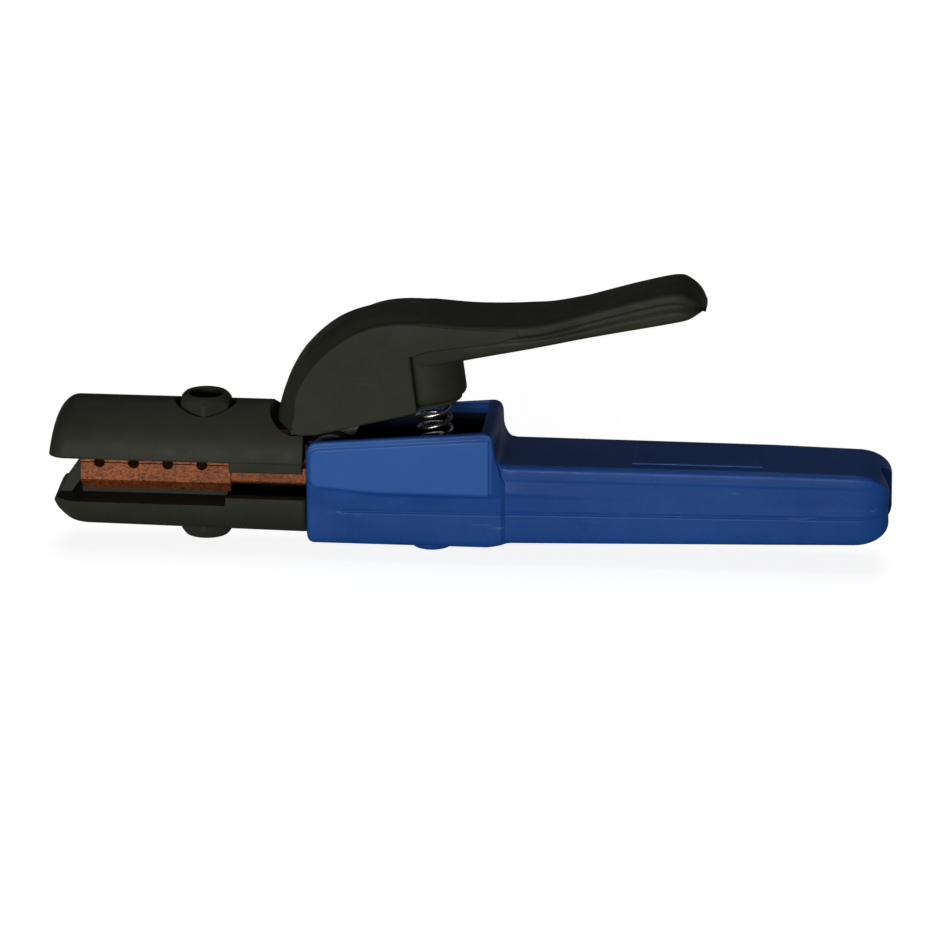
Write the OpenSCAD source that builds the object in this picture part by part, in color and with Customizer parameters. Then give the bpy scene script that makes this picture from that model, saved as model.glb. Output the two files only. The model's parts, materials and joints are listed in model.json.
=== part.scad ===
// Lever-type electrode holder for manual arc welding, for cable up to 50 mm2.
// Origin: on the centre line of the front electrode groove, midway across the jaws and
// in the plane where the jaws meet. +X runs back along the grip, +Z up to the lever.

/* [Jaws] */
// Length of the clamping block of each jaw
jaw_l = 43; // [40:1:50]
// Width of the clamping block of each jaw
jaw_w = 15; // [12:0.5:17]
// Height of the clamping block of each jaw
jaw_h = 8.2; // [7:0.1:9]
// Gap between the closed jaws
jaw_gap = 0.3; // [0.2:0.05:0.5]
// Diameter of the electrode that the grooves hold
groove_d = 3.2; // [2:0.1:4]
// Distance from one electrode groove to the next
groove_pitch = 9.8; // [7:0.1:11]
// Number of electrode grooves
groove_n = 4; // [2:1:4]
// Distance from the front of the jaws to the front groove
groove_set = 5.4; // [4:0.2:8]
// Width of the neck behind each clamping block
neck_w = 13; // [10:0.5:15]
// Height of the neck behind each clamping block
neck_h = 5.4; // [4:0.2:7]

/* [Jaw insulators] */
// Width over each insulator
ins_w = 29; // [27:0.5:32]
// Height of the upper insulator's crown above the jaw plane
crown_h = 17.4; // [17:0.1:20]
// Height of the upper insulator's side edges above the jaw plane
eave_h = 2.9; // [2.5:0.1:4.5]
// Depth of the lower insulator below the jaw plane, at its rear
keel_h = 20; // [19.8:0.1:22]
// Height that the lower insulator's underside rises towards its front
keel_rise = 0.9; // [0:0.1:1.5]
// Depth of the lower insulator's window sill below the jaw plane
sill_h = 9.8; // [9.4:0.1:11]
// Overhang of the upper insulator in front of the jaws
brow_l = 8.8; // [7:0.2:12]
// Overhang of the lower insulator in front of the jaws
nose_l = 7.8; // [6:0.2:10]
// Thickness of the nose wall in front of the jaws
nose_t = 4.8; // [3:0.2:5]
// Thickness of the skirts beside the necks
skirt_t = 3.2; // [2:0.1:4]
// Length of the dome that rounds off the upper insulator's front
dome_l = 7.6; // [4:0.2:8]

/* [Jaw screws] */
// Distance of the jaw screws behind the front groove
screw_x = 30; // [24:0.5:32]
// Thread diameter of the jaw screws
screw_d = 6; // [5:0.5:6]
// Width across flats of the insulated screw heads
head_af = 14; // [12:0.5:15]
// Height that the upper screw head stands above the crown
head_rise = 2.2; // [1:0.1:4]
// Height that the lower screw head stands below the keel
head_drop = 2.5; // [1:0.1:4]
// Diameter of the driver recess in the upper screw head
recess_d = 9.6; // [6:0.1:10]
// Depth of the driver recess
recess_h = 3.2; // [2:0.1:4]

/* [Pivot] */
// Distance of the lever pivot behind the front groove
pivot_x = 66.8; // [65:0.2:70]
// Height of the lever pivot above the jaw plane
pivot_z = 4.2; // [3.6:0.1:5]
// Diameter of the pivot pin
pin_d = 6; // [5:0.1:6.5]
// Outer diameter of the bush in the arm
bush_d = 8; // [7.6:0.1:8.6]
// Outer diameter of the arm's knuckle
knuckle_d = 12.4; // [12:0.1:13]
// Width of the arm's knuckle
knuckle_w = 8.4; // [7:0.1:9]
// Thickness of the thrust washers
thrust_t = 0.8; // [0.5:0.1:1]
// Thickness of each pivot ear
ear_t = 3.5; // [3:0.1:4]
// Thickness of the pin's retaining rings
ring_t = 1; // [0.8:0.1:1.2]

/* [Lever] */
// Width of the lever over its cheeks
lever_w = 26; // [24:0.5:27]
// Width of the hump's raised crown
ridge_w = 16; // [12:0.5:18]
// Width of the thumb plate on the tail
plate_w = 21; // [18:0.5:23]
// Width of the finger rail under the tail
rail_w = 22; // [18:0.5:23]
// Height of the hump above the pivot
hump_h = 41.9; // [40:0.1:46]
// Distance of the hump's front ahead of the pivot
hump_l = 15.6; // [14:0.1:16]
// Distance of the lever's tip behind the pivot
lever_l = 106.4; // [100:0.2:125]
// Height of the lever's tip above the pivot
tip_h = 51.8; // [48:0.2:56]
// Thickness of the lever's tail
tail_t = 8.1; // [7:0.1:10]
// Thickness of the steel-cored arm inside the lever
tang_t = 8; // [6:0.2:9]

/* [Spring] */
// Distance of the spring behind the pivot, measured at its seat
spring_x = 30; // [28:0.2:32]
// Forward lean of the spring
spring_lean = 7.8; // [6:0.2:12]
// Outer diameter of the spring
spring_d = 10.6; // [9:0.1:11]
// Wire diameter of the spring
wire_d = 1.5; // [1:0.1:1.8]
// Number of turns of the spring
turns = 8; // [6:1:9]
// Length of the spring at rest
spring_l = 25; // [24:0.5:26]
// Outer diameter of the boss that holds the spring
boss_d = 21; // [18:0.5:22]
// Depth of the spring pocket in the boss
pocket_h = 10; // [9:0.5:11]
// Height of the spring seat above the jaw plane
seat_z = 3.4; // [2.5:0.1:4]
// Thickness of the insulating seat cup
cup_t = 1; // [0.6:0.1:1.5]

/* [Handle] */
// Distance of the handle's front end behind the front groove
handle_x = 60.2; // [60:0.1:61]
// Length of the handle
handle_l = 165.7; // [160:1:190]
// Length of the front box around the pivot
box_l = 53.8; // [53:0.2:60]
// Width over the box
box_w = 33.4; // [32:0.2:36]
// Width over the lower body and the keel edges
body_w = 30.4; // [29:0.2:31]
// Height of the box rim above the jaw plane at its front
rim_front = 10.4; // [9.5:0.1:11]
// Height of the box rim above the jaw plane at its rear
rim_back = 15; // [13:0.1:16]
// Depth of the body below the jaw plane
body_z = 20.2; // [19:0.1:22]
// Thickness of the box walls
wall = 3; // [2.5:0.1:3.2]
// Height of the cable's centre line relative to the jaw plane
grip_z = -6.3; // [-6.6:0.1:-6]
// Height of the grip's top above the jaw plane
grip_top = 4.7; // [4.4:0.1:6]
// Height that the grip's top falls towards its rear end
grip_fall = 0.6; // [0:0.1:1.5]
// Depth of the grip's underside below the jaw plane at its rear
tail_z = 16.6; // [16.4:0.1:18]
// Width of the grip at its front
grip_w = 29; // [28:0.5:31]
// Width of the grip at its rear
tail_w = 26.4; // [25:0.2:28]
// Rounding of the grip's top edges at its front
edge_r = 2.5; // [1.5:0.5:5]
// Rounding of the grip's lower edges, and of all its edges at the rear
grip_r = 5; // [3:0.5:6]
// Width of the rib under the handle
rib_w = 16; // [15:0.5:18]
// Height of the rib under the handle
rib_h = 1.7; // [1:0.1:3]
// Length of the bare plate on the grip
badge_l = 36; // [20:1:50]

/* [Handle screw] */
// Distance of the handle screw behind the front groove
hscrew_x = 94.8; // [92:0.2:96]
// Diameter of the insulating cap over the handle screw
cap_d = 12; // [11:0.1:12.6]
// Height that the cap stands below the rib
cap_drop = 3.3; // [2:0.1:5]

/* [Cable socket] */
// Outer diameter of the cable socket
socket_d = 16.4; // [15.6:0.1:16.6]
// Inner diameter of the cable ferrule
cable_d = 11; // [9:0.1:11.4]
// Wall of the cable ferrule
ferrule_t = 0.4; // [0.3:0.05:0.6]
// Depth of the cable bore
cable_depth = 35; // [28:1:40]
// Distance of the socket's mouth behind the front groove
socket_x = 168; // [160:1:176]
// Diameter of the cable entry at the grip's rear end
entry_d = 17.2; // [17:0.1:17.6]
// Thread diameter of the cable clamping screws
clamp_d = 6; // [5:0.5:7]
// Distance between the cable clamping screws
clamp_gap = 14; // [10:0.5:18]

/* [Hidden] */
$fn = 48;
eps = 0.01;
// Running fit of the pin in its bush, and of the arm between its washers
run_fit = 0.05;
side_fit = 0.1;
// Clearance of pieces that are slipped over each other, and of screws in plain holes
slip = 0.15;
hole_fit = 0.3;
// Air between pieces that move past each other
air = 0.5;

// Jaws
jaw_x0 = -groove_set;
jaw_x1 = jaw_x0 + jaw_l;
half_gap = jaw_gap / 2;
jaw_bevel = [2, 3];
// Distance of the jaw screws' tips from the jaw plane
screw_tip = 2.9;
// Pivot
ear_y = knuckle_w / 2 + 2 * side_fit + thrust_t;
ear_out = ear_y + ear_t;
ear_d = knuckle_d + 0.8;
ring_y = ear_out + 0.2;
pin_end = ring_y + ring_t + 0.8;
ring_groove = 0.6;
// Insulators
ins_x1 = handle_x - 1.1;
sole_x1 = handle_x - 0.2;
brow_x = jaw_x0 - brow_l;
nose_x = jaw_x0 - nose_l;
ins_r = crown_h - eave_h;
slot_w = jaw_w + 2 * slip;
seat_t = 1.5;
washer_t = 1;
head_r = head_af / 2 / cos(30);
flange_d = 10;
flange_t = 2.4;
pad_w = 9;
// Heights of the insulated heads' seats and tops, above and below the jaw plane
upper_seat = jaw_h + seat_t;
lower_seat = jaw_h + 2 * seat_t;
upper_top = crown_h + head_rise;
lower_top = keel_h + head_drop;
// Lever
spring_seat = [spring_x, seat_z + cup_t - pivot_z];
tang_w = tang_t;
tang_slot = tang_t + 2 * slip;
cover_d = 4;
cover_head = 7;
boss_base = spring_l - pocket_h;
boss_top = 34;
rail_r = 6;
// Underside of the tang over the spring, its depth below the hump's top, and the cover screw's tip
roof_z = spring_seat[1] + spring_l + 2.5;
tang_drop = 5.4;
cover_tip = (hump_h - tang_drop - spring_seat[1]) / cos(spring_lean) - 3.6;
plate_t = 2.6;
// Handle
handle_x1 = handle_x + handle_l;
box_x1 = handle_x + box_l;
bay_w = box_w - 2 * wall;
bay_x1 = box_x1 - wall - 0.7;
floor_z = wall - body_z;
cap_z = cap_drop + rib_h + body_z;
hs_head_d = 9;
hs_head_t = 3;
hs_seat = -body_z + 1.2;
grip_bend = 34;
end_l = 9.5;
end_r = 5.8;
rib_end_h = 1;
bar_w = 13;
bar_h = 12.4;
bar_x1 = socket_x - cable_depth - 10;

// Helpers: a side profile drawn in X and Z, and a cross-section drawn in Y and Z
module side(w) {
    rotate([90, 0, 0]) linear_extrude(w, center = true) children();
}
module along(x0, x1) {
    translate([x0, 0, 0]) rotate([90, 0, 90]) linear_extrude(x1 - x0) children();
}
// A cylinder on the Y axis through a point of the side view, and one on the X axis
module cross_pin(x, z, d, w) {
    translate([x, 0, z]) rotate([90, 0, 0]) cylinder(d = d, h = w, center = true);
}
module rod(x0, x1, z, d) {
    translate([x0, 0, z]) rotate([0, 90, 0]) cylinder(d = d, h = x1 - x0);
}
// A smooth line through chosen points, with n steps between each two
function blend(a, b, c, d, t) =
    0.5 * (2 * b + (c - a) * t + (2 * a - 5 * b + 4 * c - d) * t * t
        + (3 * b - a - 3 * c + d) * t * t * t);
function smooth_line(p, n = 5) = concat(
    [for (i = [0 : len(p) - 2]) for (j = [0 : n - 1])
        blend(p[max(i - 1, 0)], p[i], p[i + 1], p[min(i + 2, len(p) - 1)], j / n)],
    [p[len(p) - 1]]);
function reversed(p) = [for (i = [len(p) - 1 : -1 : 0]) p[i]];
function shifted(p, v) = [for (q = p) q + v];
// A rectangle with rounded corners, given by its low and high corners
module round_box(lo, hi, r) {
    translate([lo[0] + r, lo[1] + r]) offset(r = r, $fn = 32)
        square([hi[0] - lo[0] - 2 * r, hi[1] - lo[1] - 2 * r]);
}

// ---------------------------------------------------------------- conductor
module grooves() {
    for (i = [0 : groove_n - 1]) cross_pin(i * groove_pitch, 0, groove_d, jaw_w + 2);
}
// Cross-section of a clamping block that hangs below z = 0, bevelled at its far edges
module jaw_section() {
    polygon([
        [-jaw_w / 2, -half_gap], [-jaw_w / 2, jaw_bevel[1] - jaw_h], [jaw_bevel[0] - jaw_w / 2, -jaw_h],
        [jaw_w / 2 - jaw_bevel[0], -jaw_h], [jaw_w / 2, jaw_bevel[1] - jaw_h], [jaw_w / 2, -half_gap]
    ]);
}
// The block with its front corner rounded and its screw hole
module jaw_block() {
    difference() {
        intersection() {
            along(jaw_x0, jaw_x1) jaw_section();
            side(jaw_w + 2) round_box([jaw_x0, -jaw_h], [jaw_x1 + 4, jaw_h], 2);
        }
        grooves();
        translate([screw_x, 0, -jaw_h - 1]) cylinder(d = screw_d, h = jaw_h + 1 - screw_tip + 0.3);
    }
}

module body_casting() {
    color("peru") {
        difference() {
            union() {
                jaw_block();
                along(jaw_x1 - 1, pivot_x)
                    round_box([-neck_w / 2, -half_gap - neck_h], [neck_w / 2, -half_gap], 1);
                ears();
                along(pivot_x + 2, bar_x1)
                    round_box([-bar_w / 2, grip_z - bar_h / 2], [bar_w / 2, grip_z + bar_h / 2], 2);
                translate([hscrew_x, 0, floor_z]) cylinder(d = 12, h = bar_h);
                spring_axis() translate([0, 0, -5]) cylinder(d = spring_d + 3, h = 5 - cup_t);
                rod(bar_x1 - 1, bar_x1 + 6, grip_z, cable_d + 2 * ferrule_t);
            }
            cross_pin(pivot_x, pivot_z, pin_d, 2 * ear_out + 2);
            cross_pin(pivot_x, pivot_z, knuckle_d + 2 * air, 2 * ear_y);
            translate([hscrew_x, 0, floor_z - 1]) cylinder(d = screw_d, h = 10);
        }
    }
}
// The two ears that carry the pivot pin, on a foot that joins neck and bar
module ears() {
    difference() {
        union() {
            cross_pin(pivot_x, pivot_z, ear_d, 2 * ear_out);
            side(2 * ear_out) polygon([
                [pivot_x - ear_d / 2, pivot_z], [pivot_x - ear_d / 2, -half_gap - neck_h],
                [pivot_x, grip_z - bar_h / 2 + 1], [pivot_x + ear_d / 2 + 3, grip_z - bar_h / 2 + 1],
                [pivot_x + ear_d / 2 + 3, grip_z + bar_h / 2 - 1], [pivot_x + ear_d / 2, pivot_z]
            ]);
        }
        translate([pivot_x - ear_d, -ear_y, -half_gap]) cube([2 * ear_d + 4, 2 * ear_y, 20]);
    }
}

module cable_socket() {
    color("goldenrod") difference() {
        rod(bar_x1, socket_x, grip_z, socket_d);
        rod(socket_x - cable_depth, socket_x + 1, grip_z, cable_d + 2 * ferrule_t);
        rod(bar_x1 - 1, bar_x1 + 6, grip_z, cable_d + 2 * ferrule_t);
        clamp_places() cylinder(d = clamp_d, h = socket_d);
    }
}
module clamp_places() {
    for (i = [0, 1])
        translate([socket_x - cable_depth / 2 + (i - 0.5) * clamp_gap, 0, grip_z]) children();
}
module cable_ferrule() {
    color("chocolate") difference() {
        rod(socket_x - cable_depth, socket_x, grip_z, cable_d + 2 * ferrule_t);
        rod(socket_x - cable_depth - 1, socket_x + 1, grip_z, cable_d);
    }
}
// Slotted grub screws, flush with the socket and resting on the ferrule
module cable_screws() {
    seat = cable_d / 2 + ferrule_t;
    color("dimgray") clamp_places() difference() {
        translate([0, 0, seat]) cylinder(d = clamp_d, h = socket_d / 2 - 0.6 - seat);
        translate([-0.5, -clamp_d, socket_d / 2 - 1.6]) cube([1, 2 * clamp_d, 2]);
    }
}

module upper_arm() {
    color("peru") difference() {
        union() {
            mirror([0, 0, 1]) jaw_block();
            along(jaw_x1 - 1, pivot_x - ear_d / 2 - air)
                round_box([-neck_w / 2, half_gap], [neck_w / 2, half_gap + neck_h + 1.6], 1);
            side(knuckle_w) polygon([
                [pivot_x - ear_d / 2 - 2, half_gap], [pivot_x, half_gap],
                [pivot_x, half_gap + neck_h + 1.6], [pivot_x - ear_d / 2 - 2, half_gap + neck_h + 1.6]
            ]);
            cross_pin(pivot_x, pivot_z, knuckle_d, knuckle_w);
            side(tang_w) polygon(shifted(tang_line(), [pivot_x, pivot_z]));
        }
        cross_pin(pivot_x, pivot_z, bush_d, knuckle_w + 2);
        spring_axis() cylinder(d = cover_d, h = cover_tip + 0.5);
    }
}
// Outline of the tang that stiffens the lever, from the knuckle to the tail
function tang_line() = let (
    under = [[5, 2.5], [11, 15], [19, roof_z - 1.4], [30, roof_z + 0.8], [50, hump_h - 7.6]],
    over = [[50, hump_h - 3.8], [28, hump_h - tang_drop], [14, hump_h - 9], [1, 18], [-4.5, 3]]
) concat(smooth_line(under), smooth_line(over));

// ---------------------------------------------------------------- lever
// Places things on the leaning axis of the spring, with z = 0 at the spring's lower end
module spring_axis() {
    translate([pivot_x + spring_seat[0], 0, pivot_z + spring_seat[1]])
        rotate([0, -spring_lean, 0]) children();
}
// Line of the lever's top from the front of the hump to the tip, seen from the side
function ridge_line() = smooth_line([
    [-hump_l, 11], [-hump_l + 2.5, hump_h * 0.49], [-hump_l + 7.8, hump_h * 0.71],
    [1.1, hump_h * 0.9], [11.6, hump_h * 0.987], [24, hump_h], [41, hump_h - 0.9],
    [58, hump_h - 0.1], [lever_l - 37, hump_h + 2.3], [lever_l - 20, tip_h - 2.6],
    [lever_l - 9, tip_h], [lever_l - 4.6, tip_h - 1], [lever_l - 1.4, tip_h - 3.4], [lever_l, tip_h - 6]
]);
// Line under the tail from the spring boss to the tip
function rail_line() = smooth_line([
    [26, hump_h - 14.9], [41, hump_h - 11.5], [58, hump_h - 7.9],
    [lever_l - 32, tip_h - tail_t - 6], [lever_l - 10, tip_h - tail_t - 1.4],
    [lever_l - 1, tip_h - tail_t + 0.8]
]);
// Line of the cheek's front and top edge, set back from the ridge at the front
function cheek_line() = smooth_line([
    [-hump_l + 4, 8.6], [-hump_l + 5, 13], [-hump_l + 6.2, hump_h * 0.49],
    [-hump_l + 12.6, hump_h * 0.725], [7.6, hump_h * 0.915], [19.8, hump_h - 0.5],
    [41, hump_h - 1.4], [60, hump_h - 1.2]
]);
module lever_shape() {
    ridge = ridge_line();
    rail = rail_line();
    // Ridge with the core of the tail, and thumb plate
    intersection() {
        union() {
            side(ridge_w) polygon(concat(ridge, reversed(rail), [[22, 13.6], [-hump_l + 4, 7.6]]));
            side(lever_w) polygon(concat(
                [for (q = ridge) if (q[0] > 15) q - [0, 0.3]],
                reversed([for (q = ridge) if (q[0] > 15) q - [0, plate_t]])));
        }
        linear_extrude(tip_h + 5) tail_plan(lever_w, plate_w, plate_w / 2 - 0.5);
    }
    // Cheeks
    side(lever_w) polygon(concat(cheek_line(), [
        [46.8, hump_h - 6], [29.8, hump_h - 8.5], [23, hump_h - 10.3],
        [25, 14.9], [-4, 7.4], [-hump_l + 6, 7.2]
    ]));
    // Finger rail
    intersection() {
        side(lever_w) polygon(concat(
            shifted([for (q = rail) if (q[0] > 26.5) q], [0, 5]),
            reversed([for (q = rail) if (q[0] > 26.5) q])));
        linear_extrude(tip_h + 5) tail_plan(rail_w, rail_w, rail_r);
    }
    // Spring boss
    translate([-pivot_x, 0, -pivot_z]) spring_axis()
        translate([0, 0, boss_base]) cylinder(d = boss_d, h = boss_top - boss_base);
}
// Plan of the tail: w0 wide at the hump, w1 at the tip, with corners of radius r there
module tail_plan(w0, w1, r) {
    n = 8;
    x1 = lever_l - 0.2;
    tip = [for (i = [0 : n]) [x1 - r + r * sin(i * 90 / n), w1 / 2 - r + r * cos(i * 90 / n)]];
    half = concat([[-30, w0 / 2], [56, w0 / 2], [72, w1 / 2]], tip);
    polygon(concat(half, reversed([for (q = half) [q[0], -q[1]]])));
}
module lever_cover() {
    color("#26282a") difference() {
        translate([pivot_x, 0, pivot_z]) intersection() {
            lever_shape();
            linear_extrude(tip_h + 5) tail_plan(lever_w, rail_w, rail_r);
        }
        // Hollow of the hump, open below
        translate([pivot_x, 0, pivot_z]) side(lever_w - 8) polygon([
            [-7, 0], [-7, hump_h * 0.4], [-1, hump_h * 0.62], [8, hump_h * 0.76],
            [15, hump_h * 0.8], [15, 0]
        ]);
        // Slot for the tang, with slip all round
        side(tang_slot) offset(delta = slip) polygon(shifted(tang_line(), [pivot_x, pivot_z]));
        side(tang_slot) translate([pivot_x, pivot_z])
            polygon([[-8, 0], [17, 0], [17, roof_z - 1.8], [-4, 12]]);
        spring_axis() {
            translate([0, 0, boss_base - 1]) cylinder(d = spring_d + 1.4, h = spring_l - boss_base + 1);
            cylinder(d = cover_d + hole_fit, h = cover_tip);
        }
    }
}

// ---------------------------------------------------------------- insulators
// Upper cross-section: a half round with short straight sides
module upper_section() {
    intersection() {
        union() {
            translate([0, eave_h]) circle(r = ins_r, $fn = 96);
            translate([-ins_w / 2, eave_h - 1]) square([ins_w, 2]);
        }
        translate([-ins_w / 2, eave_h]) square([ins_w, 2 * ins_r]);
    }
}
module upper_jaw_insulator() {
    skirt_x = jaw_x1 + 0.3;
    notch_x = pivot_x - hump_l - 2.3;
    color("#26282a") difference() {
        union() {
            intersection() {
                along(brow_x, ins_x1) upper_section();
                side(ins_w + 2) polygon(concat(
                    [[brow_x, 0]],
                    [for (a = [0 : 9 : 90])
                        [brow_x + dome_l * (1 - cos(a)), crown_h + 2 * dome_l * (sin(a) - 1)]],
                    [[ins_x1 + 20, crown_h], [ins_x1 + 20, 0]]
                ));
                translate([0, 0, -1]) linear_extrude(crown_h + 2)
                    round_box([brow_x, -ins_w / 2], [ins_x1 + 20, ins_w / 2], 4.5);
            }
            for (s = [-1, 1]) translate([skirt_x, s * (ins_w - skirt_t) / 2 - skirt_t / 2, half_gap])
                cube([ins_x1 - skirt_x, skirt_t, eave_h + 1]);
        }
        // Pocket for the jaw and its neck
        translate([jaw_x0 - 0.3, -slot_w / 2, -1]) cube([jaw_l + 0.6, slot_w, jaw_h + 1]);
        translate([jaw_x1 - 1, -neck_w / 2 - slip, -1])
            cube([ins_x1, neck_w + 2 * slip, neck_h + 1.8 + half_gap + 1]);
        // Clearance over the pivot ears' side and for the hump
        translate([notch_x, 0, half_gap + neck_h + 1.6]) linear_extrude(crown_h)
            round_box([0, -12], [40, 12], 7);
        translate([pivot_x - hump_l + 3.6, -ins_w, pivot_z + 6.9]) cube([ins_x1, 2 * ins_w, crown_h]);
        // Seat of the screw head
        translate([screw_x, 0, upper_seat]) cylinder(d = 2 * head_r + 0.6, h = crown_h);
        translate([screw_x, 0, 1]) cylinder(d = screw_d + 2 * hole_fit, h = crown_h);
    }
}
// A slice of the lower insulator at x, h deep: flat sides that round into the keel
module lower_slab(x, h) {
    r = 12;
    along(x, x + eps) hull() {
        for (s = [-1, 1]) translate([s * (ins_w / 2 - r), r - h]) circle(r = r, $fn = 64);
        translate([-ins_w / 2, -2]) square([ins_w, 2 - half_gap]);
    }
}
module lower_jaw_insulator() {
    sill_x1 = jaw_x1 - 0.6;
    curb_z = -7.4;
    bay_z = -13.5;
    color("#26282a") difference() {
        intersection() {
            hull() {
                lower_slab(nose_x, keel_h - keel_rise);
                lower_slab(sole_x1, keel_h);
            }
            side(ins_w + 2) polygon([
                [nose_x + 7.7, -half_gap], [nose_x + 1.6, -sill_h + 0.6], [nose_x + 0.4, -10.6],
                [nose_x, -12], [nose_x + 0.5, -14], [nose_x + 1.8, -16.2], [nose_x + 4, -18],
                [nose_x + 7.4, -18.9], [nose_x + 9, -keel_h], [sole_x1 - 2.4, -keel_h],
                [sole_x1 - 1.4, 1 - keel_h], [sole_x1, -half_gap]
            ]);
            translate([0, 0, -keel_h - 1]) linear_extrude(keel_h + 2)
                round_box([nose_x, -ins_w / 2], [sole_x1 + 20, ins_w / 2], 8);
        }
        // Windows beside the jaw, down to the sill
        for (s = [-1, 1]) translate([nose_x - 1, s * 15 - 10, -sill_h])
            cube([sill_x1 - nose_x + 1, 20, sill_h + 1]);
        // Room for the jaw behind the nose wall
        side(slot_w) polygon([
            [jaw_x0 - 0.3, 1], [jaw_x0 - 0.3, -sill_h * 0.6], [nose_x + nose_t, -sill_h],
            [sill_x1 + 1, -sill_h], [sill_x1 + 1, 1]
        ]);
        // Rear bay around the neck, below the skirts
        translate([sill_x1, -ins_w / 2 + skirt_t, bay_z])
            cube([sole_x1, ins_w - 2 * skirt_t, keel_h]);
        translate([sill_x1, -ins_w, curb_z]) cube([sole_x1, 2 * ins_w, keel_h]);
        // Screw hole and the seat of its head
        translate([screw_x, 0, -keel_h - 1])
            cylinder(d = 2 * head_r + 0.6, h = keel_h + 1 - lower_seat);
        translate([screw_x, 0, -keel_h]) cylinder(d = screw_d + 2 * hole_fit, h = keel_h);
    }
    // Pad that carries the jaw
    color("#26282a") difference() {
        translate([jaw_x0, -pad_w / 2, -sill_h - 0.5]) cube([jaw_l - 1, pad_w, sill_h + 0.5 - jaw_h]);
        translate([screw_x, 0, -keel_h]) cylinder(d = screw_d + 2 * hole_fit, h = keel_h);
    }
}

// ---------------------------------------------------------------- jaw screws
module ring(d_in, d_out, z0, z1) {
    translate([0, 0, z0]) difference() {
        cylinder(d = d_out, h = z1 - z0);
        translate([0, 0, -1]) cylinder(d = d_in, h = z1 - z0 + 2);
    }
}
// A screw that reaches down to z0, with a round flange on top of the washer at z1
module steel_screw(z0, z1) {
    translate([0, 0, z0]) cylinder(d = screw_d, h = z1 - z0);
    translate([0, 0, z1]) cylinder(d = flange_d, h = flange_t);
}
// A six-sided insulating head around the flange, bevelled towards its top
module insulated_head(z0, z1, bevel) {
    difference() {
        intersection() {
            translate([0, 0, z0]) cylinder(r = head_r, h = z1 - z0, $fn = 6);
            rotate_extrude($fn = 64) polygon([
                [0, z0], [head_r - 0.2, z0], [head_r - 0.2, z1 - bevel],
                [head_af / 2 - bevel / 2, z1], [0, z1]
            ]);
        }
        translate([0, 0, z0 - 1]) cylinder(d = flange_d, h = flange_t + 1);
        translate([0, 0, z1 - recess_h]) cylinder(d = recess_d, h = recess_h + 1);
    }
}
module at_screws() {
    translate([screw_x, 0, 0]) children();
}
module upper_jaw_screw() {
    color("silver") at_screws() steel_screw(screw_tip, upper_seat + washer_t);
}
module upper_screw_head() {
    color("#26282a") at_screws() insulated_head(upper_seat + washer_t, upper_top, 2);
}
module upper_screw_washer() {
    color("#7a3b22") at_screws() ring(screw_d + hole_fit, head_af - 0.6, upper_seat, upper_seat + washer_t);
}
module lower_jaw_screw() {
    color("silver") at_screws() mirror([0, 0, 1]) steel_screw(screw_tip, lower_seat + washer_t);
}
module lower_screw_head() {
    color("#26282a") at_screws() mirror([0, 0, 1]) insulated_head(lower_seat + washer_t, lower_top, 3);
}
module lower_screw_washer() {
    color("#7a3b22") at_screws() mirror([0, 0, 1])
        ring(screw_d + hole_fit, head_af - 0.6, lower_seat, lower_seat + washer_t);
}

// ---------------------------------------------------------------- pivot
module at_pivot() {
    translate([pivot_x, 0, pivot_z]) rotate([90, 0, 0]) children();
}
module pivot_pin() {
    color("silver") at_pivot() rotate_extrude() polygon([
        for (q = [
            [0, -pin_end], [pin_d / 2 - 0.4, -pin_end], [pin_d / 2, 0.4 - pin_end],
            [pin_d / 2, -ring_y - ring_t], [pin_d / 2 - ring_groove, -ring_y - ring_t],
            [pin_d / 2 - ring_groove, -ring_y], [pin_d / 2, -ring_y],
            [pin_d / 2, ring_y], [pin_d / 2 - ring_groove, ring_y],
            [pin_d / 2 - ring_groove, ring_y + ring_t], [pin_d / 2, ring_y + ring_t],
            [pin_d / 2, pin_end - 0.4], [pin_d / 2 - 0.4, pin_end], [0, pin_end]
        ]) q
    ]);
}
module pivot_bush() {
    color("darkgoldenrod") at_pivot()
        ring(pin_d + 2 * run_fit, bush_d, -knuckle_w / 2, knuckle_w / 2);
}
module thrust_washers() {
    y0 = knuckle_w / 2 + side_fit;
    color("lightgray") at_pivot() for (s = [0, 1]) mirror([0, 0, s])
        ring(pin_d + 2 * run_fit, knuckle_d, y0, y0 + thrust_t);
}
// Open rings snapped into the grooves of the pin
module pivot_rings() {
    color("dimgray") at_pivot() for (s = [0, 1]) mirror([0, 0, s]) difference() {
        ring(pin_d - 2 * ring_groove, pin_d + 3.4, ring_y, ring_y + ring_t);
        translate([0, -1.1, ring_y - 1]) cube([pin_d, 2.2, ring_t + 2]);
    }
}

// ---------------------------------------------------------------- spring
// The wire follows a helix whose first and last turns lie flat
module lever_spring() {
    sides = 8;
    steps = 16;
    r = (spring_d - wire_d) / 2;
    n = turns * steps;
    span = spring_l - wire_d - 0.1;
    function height(t) = let (u = (t - 1) / (turns - 2)) wire_d / 2 + 0.05
        + (t < 1 ? wire_d * t : t > turns - 1 ? span - wire_d * (turns - t)
            : wire_d + (span - 2 * wire_d) * u);
    points = [for (i = [0 : n]) let (a = i * 360 / steps, z = height(i / steps))
        for (j = [0 : sides - 1]) let (b = j * 360 / sides, q = r + wire_d / 2 * cos(b))
            [q * cos(a), q * sin(a), z + wire_d / 2 * sin(b)]];
    faces = concat(
        [for (i = [0 : n - 1]) for (j = [0 : sides - 1]) let (k = (j + 1) % sides)
            [i * sides + j, i * sides + k, (i + 1) * sides + k, (i + 1) * sides + j]],
        [[for (j = [sides - 1 : -1 : 0]) j], [for (j = [0 : sides - 1]) n * sides + j]]);
    color("silver") spring_axis() polyhedron(points, faces);
}
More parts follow.
